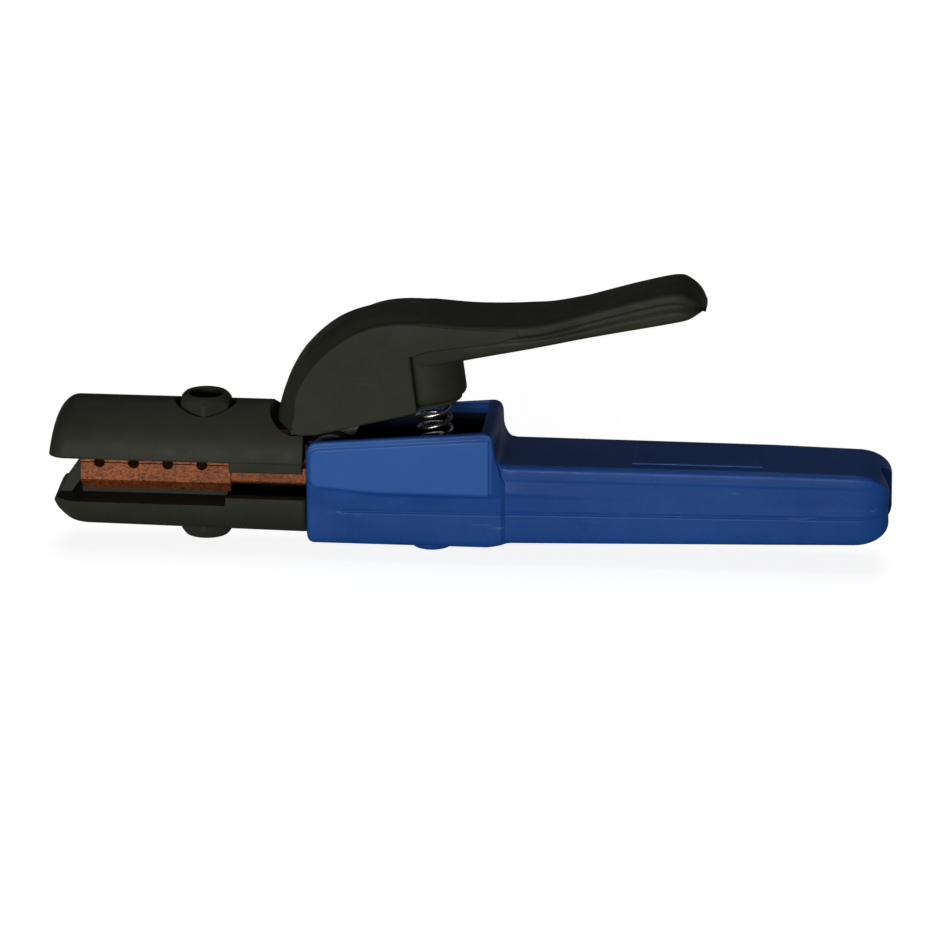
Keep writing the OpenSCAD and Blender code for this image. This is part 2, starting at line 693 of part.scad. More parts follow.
// Insulating cup between the spring and the casting
module spring_cup() {
    color("#7a3b22") spring_axis() translate([0, 0, -cup_t]) difference() {
        cylinder(d = spring_d + 2.8, h = cup_t + 2);
        translate([0, 0, cup_t]) cylinder(d = spring_d + 0.6, h = 4);
    }
}
// Screw that ties the cover to the tang, up through the floor of the spring pocket
module cover_screw() {
    color("silver") spring_axis() difference() {
        union() {
            translate([0, 0, spring_l - washer_t - 3]) cylinder(d = cover_head, h = 3);
            translate([0, 0, spring_l - washer_t - eps]) cylinder(d = cover_d, h = cover_tip - spring_l + washer_t);
        }
        translate([0, 0, spring_l - washer_t - 4]) cylinder(d = 3.4, h = 3, $fn = 6);
    }
}
module cover_washer() {
    color("gray") spring_axis() ring(cover_d + hole_fit, cover_head, spring_l - washer_t, spring_l);
}

// ---------------------------------------------------------------- handle
// A thin slice of the grip, w wide between the heights z0 and z1, its top edges rounded by r
module grip_slab(x, w, z0, z1, r = grip_r) {
    along(x, x + 0.2) hull() {
        for (s = [-1, 1]) {
            translate([s * (w / 2 - grip_r), z0 + grip_r]) circle(r = grip_r, $fn = 32);
            translate([s * (w / 2 - r), z1 - r]) circle(r = r, $fn = 32);
        }
    }
}
// Height of the body's underside at a distance x, and of the grip's top
function under_z(x) = let (t = (x - handle_x) / handle_l) -body_z * (1 - t) - tail_z * t;
function over_z(x) = grip_top - grip_fall * max(0, (x - handle_x1 + grip_bend) / grip_bend);
// The grip, whose top bends down towards its rounded end
module grip_shape() {
    hull() {
        grip_slab(box_x1 - 6, grip_w, under_z(box_x1 - 6), grip_top, edge_r);
        grip_slab(handle_x1 - grip_bend, tail_w + 1, under_z(handle_x1 - grip_bend), grip_top,
            (edge_r + grip_r) / 2);
        for (a = [0 : 18 : 90])
            let (x = handle_x1 - end_l * (1 - sin(a)) - 0.2, in = end_r * (1 - cos(a)))
            grip_slab(x, tail_w - 1.6 * in, under_z(x) + in, over_z(x) - in);
    }
    // Flare where the box meets the grip
    side(grip_w - 2 * edge_r) polygon([
        [box_x1 - 2, grip_top - 1], [box_x1 - 2, grip_top + 4.4], [box_x1, grip_top + 3.8],
        [box_x1 + 0.7, grip_top + 2], [box_x1 + 1.8, grip_top + 0.9], [box_x1 + 4, grip_top],
        [box_x1 + 4, grip_top - 1]
    ]);
}
// The front box: wide above its waist, narrower and rounded below it
module box_shape() {
    waist = -4;
    intersection() {
        along(handle_x, box_x1 + 4) union() {
            round_box([-box_w / 2, waist], [box_w / 2, rim_back + 20], 1.2);
            round_box([-body_w / 2, -body_z], [body_w / 2, waist + 4], grip_r);
        }
        side(box_w + 2) offset(r = 3.2, $fn = 32) offset(delta = -3.2) polygon([
            [handle_x + 0.6, -body_z], [handle_x, rim_front], [box_x1, rim_back], [box_x1, 0],
            [box_x1 + 4, -4], [box_x1 + 4, -body_z + 0.8]
        ]);
        translate([0, 0, -body_z - 1]) linear_extrude(rim_back + body_z + 2) polygon([
            [handle_x, -box_w / 2], [box_x1 - 0.6, -box_w / 2], [box_x1 + 3, -grip_w / 2],
            [box_x1 + 4, -grip_w / 2], [box_x1 + 4, grip_w / 2], [box_x1 + 3, grip_w / 2],
            [box_x1 - 0.6, box_w / 2], [handle_x, box_w / 2]
        ]);
    }
}
// Rib along the underside, level with the taper of the grip
module rib_shape() {
    x0 = handle_x + 9.7;
    x1 = handle_x1 - 20;
    side(rib_w) polygon([
        [x0, grip_z], [x0, -body_z - rib_h + 1], [x0 + 1.5, -body_z - rib_h],
        [x1 - 1.5, under_z(x1) - rib_end_h], [x1, under_z(x1) - rib_end_h + 0.8], [x1, grip_z]
    ]);
}
module handle_grip() {
    color("#1d3f86") difference() {
        union() {
            grip_shape();
            box_shape();
            rib_shape();
            badge();
        }
        // Bay for the casting, open at the front and at the top
        along(handle_x - 1, bay_x1) round_box([-bay_w / 2, floor_z], [bay_w / 2, rim_back + 10], 3);
        rod(bay_x1 - 1, handle_x1 + 1, grip_z, entry_d);
        // Handle screw with its counterbore
        translate([hscrew_x, 0, -body_z - rib_h - 1]) cylinder(d = cap_d + 2 * slip, h = rib_h + 2.2);
        translate([hscrew_x, 0, -body_z]) cylinder(d = screw_d + 2 * hole_fit, h = wall + 2);
    }
}
// Bare raised plate on top of the grip
module badge() {
    x0 = handle_x + 92.6;
    lift = 0.4;
    translate([x0, grip_r - grip_w / 2, grip_top - 2]) cube([badge_l, grip_w - 2 * grip_r, 2 + lift]);
}
module at_handle_screw() {
    translate([hscrew_x, 0, 0]) children();
}
module handle_screw() {
    color("silver") at_handle_screw() difference() {
        union() {
            translate([0, 0, hs_seat - washer_t - eps]) cylinder(d = screw_d, h = 8.6 + wall);
            translate([0, 0, hs_seat - washer_t - hs_head_t]) cylinder(d = hs_head_d, h = hs_head_t);
        }
        translate([0, 0, hs_seat - washer_t - hs_head_t - 1]) cylinder(d = 5.8, h = 3, $fn = 6);
    }
}
module handle_screw_washer() {
    color("gray") at_handle_screw() ring(screw_d + hole_fit, cap_d - 2.4, hs_seat - washer_t, hs_seat);
}
// Domed cap pressed over the screw head
module handle_screw_cap() {
    base = hs_seat - washer_t;
    color("#1d3f86") at_handle_screw() difference() {
        rotate_extrude() intersection() {
            translate([0, -cap_z]) square([cap_d / 2, cap_z + base]);
            union() {
                translate([0, 14 - cap_z]) circle(r = 14, $fn = 96);
                translate([0, 1.8 - cap_z]) square([cap_d / 2, cap_z]);
            }
        }
        translate([0, 0, base - hs_head_t]) cylinder(d = hs_head_d, h = hs_head_t + 1);
    }
}

handle_grip();
body_casting();
cable_socket();
cable_ferrule();
cable_screws();
upper_arm();
lever_cover();
upper_jaw_insulator();
lower_jaw_insulator();
upper_jaw_screw();
upper_screw_head();
upper_screw_washer();
lower_jaw_screw();
lower_screw_head();
lower_screw_washer();
pivot_pin();
pivot_bush();
thrust_washers();
pivot_rings();
lever_spring();
spring_cup();
cover_screw();
cover_washer();
handle_screw();
handle_screw_cap();
handle_screw_washer();
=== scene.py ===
import json
import logging
import math
from dataclasses import dataclass, field
from enum import Enum

import bmesh
import bpy
import numpy as np
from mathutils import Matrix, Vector


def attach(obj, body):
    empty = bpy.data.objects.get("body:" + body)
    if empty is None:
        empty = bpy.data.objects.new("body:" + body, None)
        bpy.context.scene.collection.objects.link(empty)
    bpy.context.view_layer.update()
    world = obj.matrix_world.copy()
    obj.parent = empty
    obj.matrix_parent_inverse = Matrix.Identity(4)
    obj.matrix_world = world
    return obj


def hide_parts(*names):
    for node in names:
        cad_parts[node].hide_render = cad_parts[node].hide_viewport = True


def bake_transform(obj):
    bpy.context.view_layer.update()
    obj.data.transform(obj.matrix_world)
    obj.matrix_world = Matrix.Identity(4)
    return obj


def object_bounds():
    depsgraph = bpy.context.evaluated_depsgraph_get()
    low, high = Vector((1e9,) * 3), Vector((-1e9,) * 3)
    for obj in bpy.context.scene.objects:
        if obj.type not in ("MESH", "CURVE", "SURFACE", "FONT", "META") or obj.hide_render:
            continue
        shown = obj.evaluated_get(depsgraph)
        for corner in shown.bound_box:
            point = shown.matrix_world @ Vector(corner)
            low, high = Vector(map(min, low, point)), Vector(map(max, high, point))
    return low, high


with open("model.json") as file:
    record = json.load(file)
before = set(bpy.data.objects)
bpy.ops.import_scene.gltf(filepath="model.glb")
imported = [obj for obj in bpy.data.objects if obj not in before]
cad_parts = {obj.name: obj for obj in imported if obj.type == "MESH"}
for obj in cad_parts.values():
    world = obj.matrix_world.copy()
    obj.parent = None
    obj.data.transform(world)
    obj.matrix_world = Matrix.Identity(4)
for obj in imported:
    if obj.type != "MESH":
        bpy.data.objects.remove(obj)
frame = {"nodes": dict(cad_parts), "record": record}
CAD_BOX = [list(corner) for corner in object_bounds()]

LOG = logging.getLogger("electrode_holder")
MM = 0.001
PIVOT = np.array([66.8, 4.2])
SCREW_X = 30.0

Array = np.ndarray


class Body(Enum):
    """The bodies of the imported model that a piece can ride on."""

    HANDLE = "body"
    LEVER = "lever"


class Slot(Enum):
    """The record's material slots."""

    BLUE = "blue_moulding"
    BLACK = "black_moulding"
    COPPER = "copper_alloy"
    BRASS = "socket_brass"
    FERRULE = "ferrule_copper"
    BUSH = "bush_bronze"
    STEEL = "steel"
    DARK_STEEL = "dark_steel"
    SPRING = "spring_steel"
    FIBRE = "fibre"


# ------------------------------------------------------------------ surfaces


def smooth_line(points: list[list[float]], steps: int = 12) -> Array:
    """A smooth line through chosen points.

    Between two neighbours the line is the cubic whose slope at each point is half the
    vector from the point before to the point after it.

    Args:
        points: the chosen points.
        steps: how many samples lie between two points.

    Returns:
        The samples, one row each.
    """
    p = np.array(points, float)
    before = np.vstack([p[:1], p[:-2]])
    after = np.vstack([p[2:], p[-1:]])
    t = (np.arange(steps) / steps)[None, :, None]
    a, b, c, d = (q[:, None, :] for q in (before, p[:-1], p[1:], after))
    line = 0.5 * (2 * b + (c - a) * t + (2 * a - 5 * b + 4 * c - d) * t ** 2
                  + (3 * b - a - 3 * c + d) * t ** 3)
    return np.vstack([line.reshape(-1, p.shape[1]), p[-1:]])


def ease(x: Array | float, low: float, high: float) -> Array:
    """A share that rises smoothly from 0 at low to 1 at high: 3t^2 - 2t^3 of t from low to high."""
    t = np.clip((np.asarray(x, float) - low) / (high - low), 0, 1)
    return t * t * (3 - 2 * t)


def quarter(x: Array, start: float, radius: float) -> Array:
    """How far a rounded end lies inside its full size.

    The inset is radius minus the height of a quarter circle, which is full at start and
    nothing one radius further on.

    Args:
        x: distances along the piece.
        start: where the piece ends.
        radius: the rounding, negative where the piece lies before start.

    Returns:
        The inset at each distance.
    """
    t = np.clip(1 - (x - start) / radius, 0, 1)
    return abs(radius) * (1 - np.sqrt(1 - t * t))


def rounded(knots: Array, radii: Array, steps: int = 5) -> Array:
    """Rounds the corners of many polylines at once.

    At each corner the line follows the parabola that leaves one side a short way before the
    corner and meets the other side as far behind it. The way is the radius, at most 0.48 of
    the shorter side.

    Args:
        knots: corners, as sections x corners x 2. The first and last stay as they are.
        radii: the roundings, as sections x corners.
        steps: samples at each corner.

    Returns:
        The rounded lines, as sections x samples x 2.
    """
    here, back, ahead = knots[:, 1:-1], knots[:, :-2], knots[:, 2:]
    to_back, to_ahead = back - here, ahead - here
    long_back = np.linalg.norm(to_back, axis=2, keepdims=True) + 1e-9
    long_ahead = np.linalg.norm(to_ahead, axis=2, keepdims=True) + 1e-9
    reach = np.minimum(radii[:, 1:-1, None], 0.48 * np.minimum(long_back, long_ahead))
    a = here + to_back / long_back * reach
    b = here + to_ahead / long_ahead * reach
    t = np.linspace(0, 1, steps)[None, None, :, None]
    arcs = a[:, :, None] * (1 - t) ** 2 + 2 * here[:, :, None] * t * (1 - t) + b[:, :, None] * t ** 2
    flat = arcs.reshape(len(knots), -1, 2)
    return np.concatenate([knots[:, :1], flat, knots[:, -1:]], axis=1)


def polylines(*corners: tuple[Array | float, Array | float]) -> Array:
    """Joins the corners of all sections, each given as its Y and Z, into sections x corners x 2."""
    size = max(np.size(value) for corner in corners for value in corner)
    return np.stack([np.stack([value + np.zeros(size) for value in corner], 1) for corner in corners], 1)


def loft_rings(x: Array, half: Array) -> Array:
    """Closed rings across X from half sections.

    Each half section runs in Y and Z from the middle of the top to the middle of the bottom,
    and its mirror image in Y closes the ring.

    Args:
        x: the place of each section.
        half: the half sections, as sections x samples x 2.

    Returns:
        Rings, as sections x points x 3.
    """
    other = half[:, -2:0:-1] * np.array([-1, 1])
    ring = np.concatenate([half, other], axis=1)
    along = np.broadcast_to(np.asarray(x)[:, None, None], ring.shape[:2] + (1,))
    return np.concatenate([along, ring], axis=2)


def slab_rings(outline: Array, half_width: float, edge: float, steps: int = 4) -> Array:
    """A plate with a free outline and rounded edges, as rings across Y.

    A ring at the height y of the rounding is the outline moved inwards along its normals by
    edge times one minus the cosine of the angle whose sine is the share of the rounding.

    Args:
        outline: the closed outline in X and Z.
        half_width: half the plate's width.
        edge: the rounding of its edges.
        steps: samples of the rounding.

    Returns:
        Rings, as sections x points x 3.
    """
    tangent = np.roll(outline, -1, 0) - np.roll(outline, 1, 0)
    tangent /= np.linalg.norm(tangent, axis=1, keepdims=True) + 1e-9
    normal = np.stack([-tangent[:, 1], tangent[:, 0]], axis=1)
    nxt = np.roll(outline, -1, 0)
    if np.sum(outline[:, 0] * nxt[:, 1] - nxt[:, 0] * outline[:, 1]) < 0:
        normal = -normal
    angle = np.linspace(math.pi / 2, 0, steps + 1)
    inset = edge * (1 - np.cos(angle))
    y = half_width - edge + edge * np.sin(angle)
    inset = np.concatenate([inset, inset[::-1]])
    y = np.concatenate([y, -y[::-1]])
    flat = outline[None] + normal[None] * inset[:, None, None]
    across = np.broadcast_to(y[:, None, None], flat.shape[:2] + (1,))
    return np.concatenate([flat[..., :1], across, flat[..., 1:]], axis=2)


def turned_rings(profile: Array, sides: int = 64) -> Array:
    """A turned piece: rings of the profile's radii and heights about the Z axis.

    Args:
        profile: rows of radius and height.
        sides: points round the axis.

    Returns:
        Rings, as profile x sides x 3.
    """
    angle = np.arange(sides) * 2 * math.pi / sides
    circle = np.stack([np.cos(angle), np.sin(angle)], axis=1)
    flat = profile[:, None, :1] * circle[None]
    height = np.broadcast_to(profile[:, None, 1:], flat.shape[:2] + (1,))
    return np.concatenate([flat, height], axis=2)


def smoothed(points: Array) -> Array:
    """Twice the points on a closed outline's straight sides, so that its roundings stay local."""
    middle = (points + np.roll(points, -1, 0)) / 2
    return np.stack([points, middle], axis=1).reshape(-1, points.shape[1])


# ------------------------------------------------------------------ meshes


def outward(mesh: bpy.types.Mesh, merge: float = 1e-7) -> None:
    """Merges a closed mesh's doubles and turns its faces outwards.

    Args:
        mesh: the mesh, changed in place.
        merge: the distance below which points become one.
    """
    work = bmesh.new()
    work.from_mesh(mesh)
    bmesh.ops.remove_doubles(work, verts=work.verts, dist=merge)
    bmesh.ops.recalc_face_normals(work, faces=work.faces)
    wide = [face for face in work.faces if len(face.verts) > 4]
    bmesh.ops.triangulate(work, faces=wide, ngon_method="EAR_CLIP")
    work.to_mesh(mesh)
    work.free()


def soften(piece: bpy.types.Object, angle: float = 32.0) -> bpy.types.Object:
    """Shades a piece smoothly, apart from edges sharper than an angle in degrees."""
    piece.data.shade_smooth()
    piece.data.set_sharp_from_angle(angle=math.radians(angle))
    if not piece.modifiers:
        even = piece.modifiers.new("even", "WEIGHTED_NORMAL")
        even.keep_sharp, even.weight = True, 90
    return piece


def skin(name: str, rings: Array) -> bpy.types.Object:
    """A closed mesh from rings, with a flat cap at each end.

    Args:
        name: the piece's name.
        rings: the rings in millimetres, as sections x points x 3.

    Returns:
        The object, at the origin and in metres.
    """
    count, points = rings.shape[:2]
    row = np.arange(count - 1)[:, None] * points
    col = np.arange(points)[None]
    nxt = (col + 1) % points
    quads = np.stack([row + col, row + nxt, row + points + nxt, row + points + col], axis=2)
    faces = quads.reshape(-1, 4).tolist()
    faces += [list(range(points))[::-1], list(range((count - 1) * points, count * points))]
    mesh = bpy.data.meshes.new(name)
    mesh.from_pydata((rings.reshape(-1, 3) * MM).tolist(), [], faces)
    outward(mesh)
    piece = bpy.data.objects.new(name, mesh)
    bpy.context.scene.collection.objects.link(piece)
    return soften(piece)


def turned(name: str, profile: Array | list[list[float]], sides: int, x: float = 0.0) -> bpy.types.Object:
    """A turned closed mesh about the upright axis at x, from rows of radius and height."""
    return skin(name, turned_rings(np.array(profile, float), sides) + np.array([x, 0, 0]))


def block(name: str, corners: list[list[float]], half: float, edge: float = 0.3, y: float = 0.0,
          splits: int = 2) -> bpy.types.Object:
    """A block with an outline in side view and slightly rounded edges.

    Args:
        name: its name.
        corners: the outline's corners in X and Z.
        half: half its width across Y.
        edge: the rounding of its edges.
        y: the place of its middle.
        splits: how many times the outline's sides are halved.

    Returns:
        The block.
    """
    outline = np.array(corners, float)
    for _ in range(splits):
        outline = smoothed(outline)
    return skin(name, slab_rings(outline, half, edge) + np.array([0, y, 0]))


def settle(piece: bpy.types.Object) -> bpy.types.Object:
    """Applies a piece's modifiers to its mesh."""
    bpy.context.view_layer.update()
    graph = bpy.context.evaluated_depsgraph_get()
    mesh = bpy.data.meshes.new_from_object(piece.evaluated_get(graph))
    old = piece.data
    piece.modifiers.clear()
    piece.data = mesh
    mesh.name = piece.name
    bpy.data.meshes.remove(old)
    return piece


class Joining(Enum):
    """How one closed mesh is worked into another."""

    ADD = "UNION"
    CUT = "DIFFERENCE"


def work_in(piece: bpy.types.Object, tools: list[bpy.types.Object], how: Joining) -> bpy.types.Object:
    """Adds closed meshes to a piece, or cuts them out of it, and removes them.

    Args:
        piece: the piece.
        tools: the closed meshes.
        how: whether they are added or cut out.

    Returns:
        The piece.
    """
    piece.modifiers.clear()
    for tool in tools:
        tool.modifiers.clear()
        done = False
        for solver in ("MANIFOLD", "EXACT"):
            step = piece.modifiers.new("work", "BOOLEAN")
            step.operation, step.solver, step.object = how.value, solver, tool
            bpy.context.view_layer.update()
            graph = bpy.context.evaluated_depsgraph_get()
            result = bpy.data.meshes.new_from_object(piece.evaluated_get(graph))
            piece.modifiers.clear()
            changed = len(result.polygons) > 0 and (
                len(result.polygons) != len(piece.data.polygons)
                or len(result.vertices) != len(piece.data.vertices))
            if changed or solver == "EXACT":
                old, piece.data = piece.data, result
                bpy.data.meshes.remove(old)
                done = changed
                break
            bpy.data.meshes.remove(result)
        if not done:
            LOG.warning("%s: %s changed nothing", piece.name, tool.name)
        mesh = tool.data
        bpy.data.objects.remove(tool)
        bpy.data.meshes.remove(mesh)
    outward(piece.data, 1e-6)
    return piece


def round_edges(piece: bpy.types.Object, width: float, angle: float = 40.0, steps: int = 2,
                merge: float = 2e-5) -> bpy.types.Object:
    """Rounds a piece's sharp edges with a bevel, and applies it.

    Args:
        piece: the piece.
        width: the rounding in millimetres.
        angle: edges sharper than this are rounded, in degrees.
        steps: the bevel's segments.
        merge: points closer than this become one first, in metres.

    Returns:
        The piece.
    """
    piece.modifiers.clear()
    work = bmesh.new()
    work.from_mesh(piece.data)
    bmesh.ops.remove_doubles(work, verts=work.verts, dist=merge)
    bmesh.ops.dissolve_limit(work, angle_limit=math.radians(0.6), verts=work.verts, edges=work.edges)
    work.to_mesh(piece.data)
    work.free()
    bevel = piece.modifiers.new("rounding", "BEVEL")
    bevel.width, bevel.segments = width * MM, steps
    bevel.limit_method, bevel.angle_limit = "ANGLE", math.radians(angle)
    bevel.use_clamp_overlap = True
    settle(piece)
    return soften(piece, 40)


def node_copy(node: str, name: str) -> bpy.types.Object:
    """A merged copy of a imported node.

    Args:
        node: the node's name.
        name: the copy's name.

    Returns:
        The copy, at the origin.
    """
    mesh = frame["nodes"][node].data.copy()
    mesh.name = name
    mesh.materials.clear()
    outward(mesh, 1e-6)
    piece = bpy.data.objects.new(name, mesh)
    bpy.context.scene.collection.objects.link(piece)
    return piece


# ------------------------------------------------------------------ finishes


Colour = tuple[float, float, float]


class Graph:
    """A material's node tree, with short ways to add and join nodes."""

    def __init__(self, name: str) -> None:
        """Starts a named empty material with one shader."""
        self.material = bpy.data.materials.new(name)
        self.material.use_nodes = True
        self.nodes = self.material.node_tree.nodes
        self.links = self.material.node_tree.links
        self.nodes.clear()
        self.shader = self.nodes.new("ShaderNodeBsdfPrincipled")
        out = self.nodes.new("ShaderNodeOutputMaterial")
        self.links.new(self.shader.outputs[0], out.inputs[0])
        self.place = self.nodes.new("ShaderNodeTexCoord").outputs["Object"]

    def feed(self, socket: bpy.types.NodeSocket, value: object) -> None:
        """Sets a socket to a value, or links it to another socket."""
        if isinstance(value, bpy.types.NodeSocket):
            self.links.new(value, socket)
        elif isinstance(value, tuple) and len(value) == 3 and socket.type == "RGBA":
            socket.default_value = (*value, 1.0)
        else:
            socket.default_value = value

    def put(self, name: str, value: object) -> None:
        """Feeds one of the shader's inputs by its name."""
        self.feed(self.shader.inputs[name], value)

    def stretched(self, scale: Colour) -> bpy.types.NodeSocket:
        """Object coordinates, stretched by a factor along each axis."""
        node = self.nodes.new("ShaderNodeMapping")
        node.inputs["Scale"].default_value = scale
        self.feed(node.inputs["Vector"], self.place)
        return node.outputs[0]

    def noise(self, scale: float, detail: float = 3.0, rough: float = 0.55,
              stretch: Colour | None = None) -> bpy.types.NodeSocket:
        """A cloudy pattern from 0 to 1.

        Args:
            scale: how many patches fit into a metre.
            detail: how many finer layers it has.
            rough: how strong the finer layers are.
            stretch: factors along the axes, or nothing.

        Returns:
            The pattern's socket.
        """
        node = self.nodes.new("ShaderNodeTexNoise")
        self.feed(node.inputs["Vector"], self.stretched(stretch) if stretch else self.place)
        node.inputs["Scale"].default_value = scale
        node.inputs["Detail"].default_value = detail
        node.inputs["Roughness"].default_value = rough
        return node.outputs[0]

    def span(self, value: bpy.types.NodeSocket, low: float, high: float, to_low: float = 0.0,
             to_high: float = 1.0) -> bpy.types.NodeSocket:
        """Maps the range from low to high onto the range from to_low to to_high, and clamps it."""
        node = self.nodes.new("ShaderNodeMapRange")
        for i, v in enumerate((value, low, high, to_low, to_high)):
            self.feed(node.inputs[i], v)
        return node.outputs[0]

    def maths(self, how: str, a: object, b: object = 0.0) -> bpy.types.NodeSocket:
        """One sum of two values."""
        node = self.nodes.new("ShaderNodeMath")
        node.operation = how
        self.feed(node.inputs[0], a)
        self.feed(node.inputs[1], b)
        return node.outputs[0]

    def mix(self, share: object, a: object, b: object) -> bpy.types.NodeSocket:
        """A colour between a and b."""
        node = self.nodes.new("ShaderNodeMix")
        node.data_type = "RGBA"
        self.feed(node.inputs[0], share)
        self.feed(node.inputs[6], a)
        self.feed(node.inputs[7], b)
        return node.outputs[2]

    def bumped(self, height: bpy.types.NodeSocket, depth: float, strength: float = 1.0,
               under: bpy.types.NodeSocket | None = None) -> bpy.types.NodeSocket:
        """A bumped normal.

        Args:
            height: the pattern.
            depth: its depth in metres.
            strength: how much of it counts.
            under: a coarser normal below it, or nothing.

        Returns:
            The normal's socket.
        """
        node = self.nodes.new("ShaderNodeBump")
        node.inputs["Strength"].default_value = strength
        node.inputs["Distance"].default_value = depth
        self.feed(node.inputs["Height"], height)
        if under is not None:
            self.feed(node.inputs["Normal"], under)
        return node.outputs[0]

    def inside(self, low: Colour, high: Colour, blur: float = 0.0002) -> bpy.types.NodeSocket:
        """A mask that is 1 inside a box in Object coordinates, |y| counting as y.

        Args:
            low: the box's low corner in metres.
            high: its high corner.
            blur: the width of its soft edge.

        Returns:
            The mask's socket.
        """
        split = self.nodes.new("ShaderNodeSeparateXYZ")
        self.feed(split.inputs[0], self.place)
        axes = [split.outputs[0], self.maths("ABSOLUTE", split.outputs[1]), split.outputs[2]]
        mask: object = 1.0
        for value, a, b in zip(axes, low, high):
            mask = self.maths("MULTIPLY", mask, self.span(value, a - blur, a + blur))
            mask = self.maths("MULTIPLY", mask, self.span(value, b - blur, b + blur, 1.0, 0.0))
        return mask


@dataclass(frozen=True)
class Moulding:
    """Moulded plastic: a soft cloud of two shades, a fine skin texture and scuffs."""

    name: str
    shade: Colour
    light: Colour
    scuff: Colour
    rough: float = 0.4
    specular: float = 0.3
    grain: float = 0.000012
    streaks: float = 0.35

    def colour(self, g: Graph) -> bpy.types.NodeSocket:
        """The plastic's colour before any painted shade or painted light."""
        cloud = g.span(g.noise(38, 4, 0.6), 0.32, 0.68)
        flow = g.span(g.noise(90, 3, 0.5, (0.16, 1, 1)), 0.35, 0.7, 0.0, self.streaks)
        base = g.mix(cloud, self.shade, self.light)
        base = g.mix(flow, base, self.light)
        dust = g.span(g.noise(2600, 2, 0.7), 0.62, 0.74, 0.0, 0.22)
        marks = g.maths("MULTIPLY", g.span(g.noise(420, 3, 0.6, (0.12, 1, 1)), 0.64, 0.70),
                        g.span(g.noise(60, 2, 0.5), 0.52, 0.62))
        return g.mix(g.maths("MAXIMUM", dust, g.maths("MULTIPLY", marks, 0.3)), base, self.scuff)

    def build(self) -> bpy.types.Material:
        """Makes the material."""
        g = Graph(self.name)
        self.dress(g, self.colour(g))
        return g.material

    def dress(self, g: Graph, colour: bpy.types.NodeSocket) -> None:
        """Joins colour, roughness and skin texture to the shader."""
        g.put("Base Color", colour)
        g.put("Roughness", g.span(g.noise(160, 4, 0.65), 0.3, 0.7, self.rough - 0.07, self.rough + 0.09))
        g.put("Specular IOR Level", self.specular)
        wave = g.bumped(g.noise(55, 2, 0.5), 0.00025, 0.25)
        g.put("Normal", g.bumped(g.noise(1500, 3, 0.6), self.grain, 0.9, wave))


@dataclass(frozen=True)
class PaintedLightMoulding(Moulding):
    """Blue moulding with near-black painted shade inside the handle's box, where the near rim's shadow falls, and
    painted light on the raised side panels.
    """

    # painted_shade: the near-black painted shade for the inside of the handle's box.
    painted_shade: Colour = (0.004, 0.004, 0.0045)
    # panel: painted light, a lighter tone on the raised side panels where they face the lamps, bounded by the next
    # two corners.
    panel: Colour = (0.018, 0.076, 0.262)
    painted_light_low: Colour = (0.0612, 0.0158, -0.0036)
    painted_light_high: Colour = (0.1127, 0.0180, 0.0126)
    # low and high bound the painted shade: the bay's walls and floor below the height where the near rim's shadow
    # ends.
    low: Colour = (0.0595, -0.001, -0.0178)
    high: Colour = (0.1106, 0.01385, 0.0113)

    def build(self) -> bpy.types.Material:
        """Makes the material."""
        g = Graph(self.name)
        # mask: where the painted shade lies inside the box.
        mask = g.inside(self.low, self.high)
        # Painted light: the raised side panels are made lighter where they face the lamps.
        painted_panel_light = g.maths("MULTIPLY", g.inside(self.painted_light_low, self.painted_light_high, 0.0008), 0.92)
        colour = g.mix(painted_panel_light, self.colour(g), self.panel)
        # The painted shade is mixed over the colour inside the box.
        self.dress(g, g.mix(mask, colour, self.painted_shade))
        return g.material


@dataclass(frozen=True)
class CastCopper:
    """Sand-cast copper alloy: a coarse grain of dark and bright spots on a rough skin."""

    name: str = "cast_copper"
    dark: Colour = (0.050, 0.013, 0.004)
    base: Colour = (0.215, 0.054, 0.011)
    bright: Colour = (0.46, 0.175, 0.055)
    # painted_shade and its box: near-black painted shade for the castings inside the handle's box and round the
    # pivot.
    painted_shade: Colour = (0.006, 0.005, 0.005)
    painted_shade_low: Colour = (0.0592, -0.001, -0.03)
    painted_shade_high: Colour = (0.122, 0.03, 0.02)

    def build(self) -> bpy.types.Material:
        """Makes the material, with near-black painted shade where the castings lie in shade inside the handle's
        box and round the pivot.
        """
        g = Graph(self.name)
        grain = g.noise(1150, 3, 0.7)
        fine = g.noise(3100, 2, 0.6)
        colour = g.mix(g.span(grain, 0.34, 0.56), self.dark, self.base)
        colour = g.mix(g.span(fine, 0.58, 0.72, 0, 0.75), colour, self.bright)
        colour = g.mix(g.span(g.noise(130, 3, 0.5), 0.42, 0.68, 0, 0.45), colour, self.dark)
        # The painted shade: near-black and not metallic inside the box, where the castings lie in shade.
        mask = g.inside(self.painted_shade_low, self.painted_shade_high)
        g.put("Base Color", g.mix(mask, colour, self.painted_shade))
        g.put("Metallic", g.maths("MULTIPLY", g.maths("SUBTRACT", 1.0, mask), 0.55))
        g.put("Roughness", g.span(fine, 0.3, 0.7, 0.42, 0.62))
        g.put("Normal", g.bumped(fine, 0.00007, 0.8, g.bumped(grain, 0.00022, 0.9)))
        return g.material


@dataclass(frozen=True)
class Metal:
    """A machined metal with fine turning marks and a patchy tarnish."""

    name: str
    base: Colour
    tarnish: Colour
    rough: float = 0.32

    def build(self) -> bpy.types.Material:
        """Makes the material."""
        g = Graph(self.name)
        patch = g.span(g.noise(240, 4, 0.6), 0.42, 0.66, 0, 0.8)
        g.put("Base Color", g.mix(patch, self.base, self.tarnish))
        g.put("Metallic", 1.0)
        g.put("Roughness", g.span(g.noise(700, 3, 0.6), 0.3, 0.7, self.rough - 0.08, self.rough + 0.12))
        g.put("Normal", g.bumped(g.noise(1800, 2, 0.6, (1, 1, 3)), 0.00001, 0.8))
        return g.material


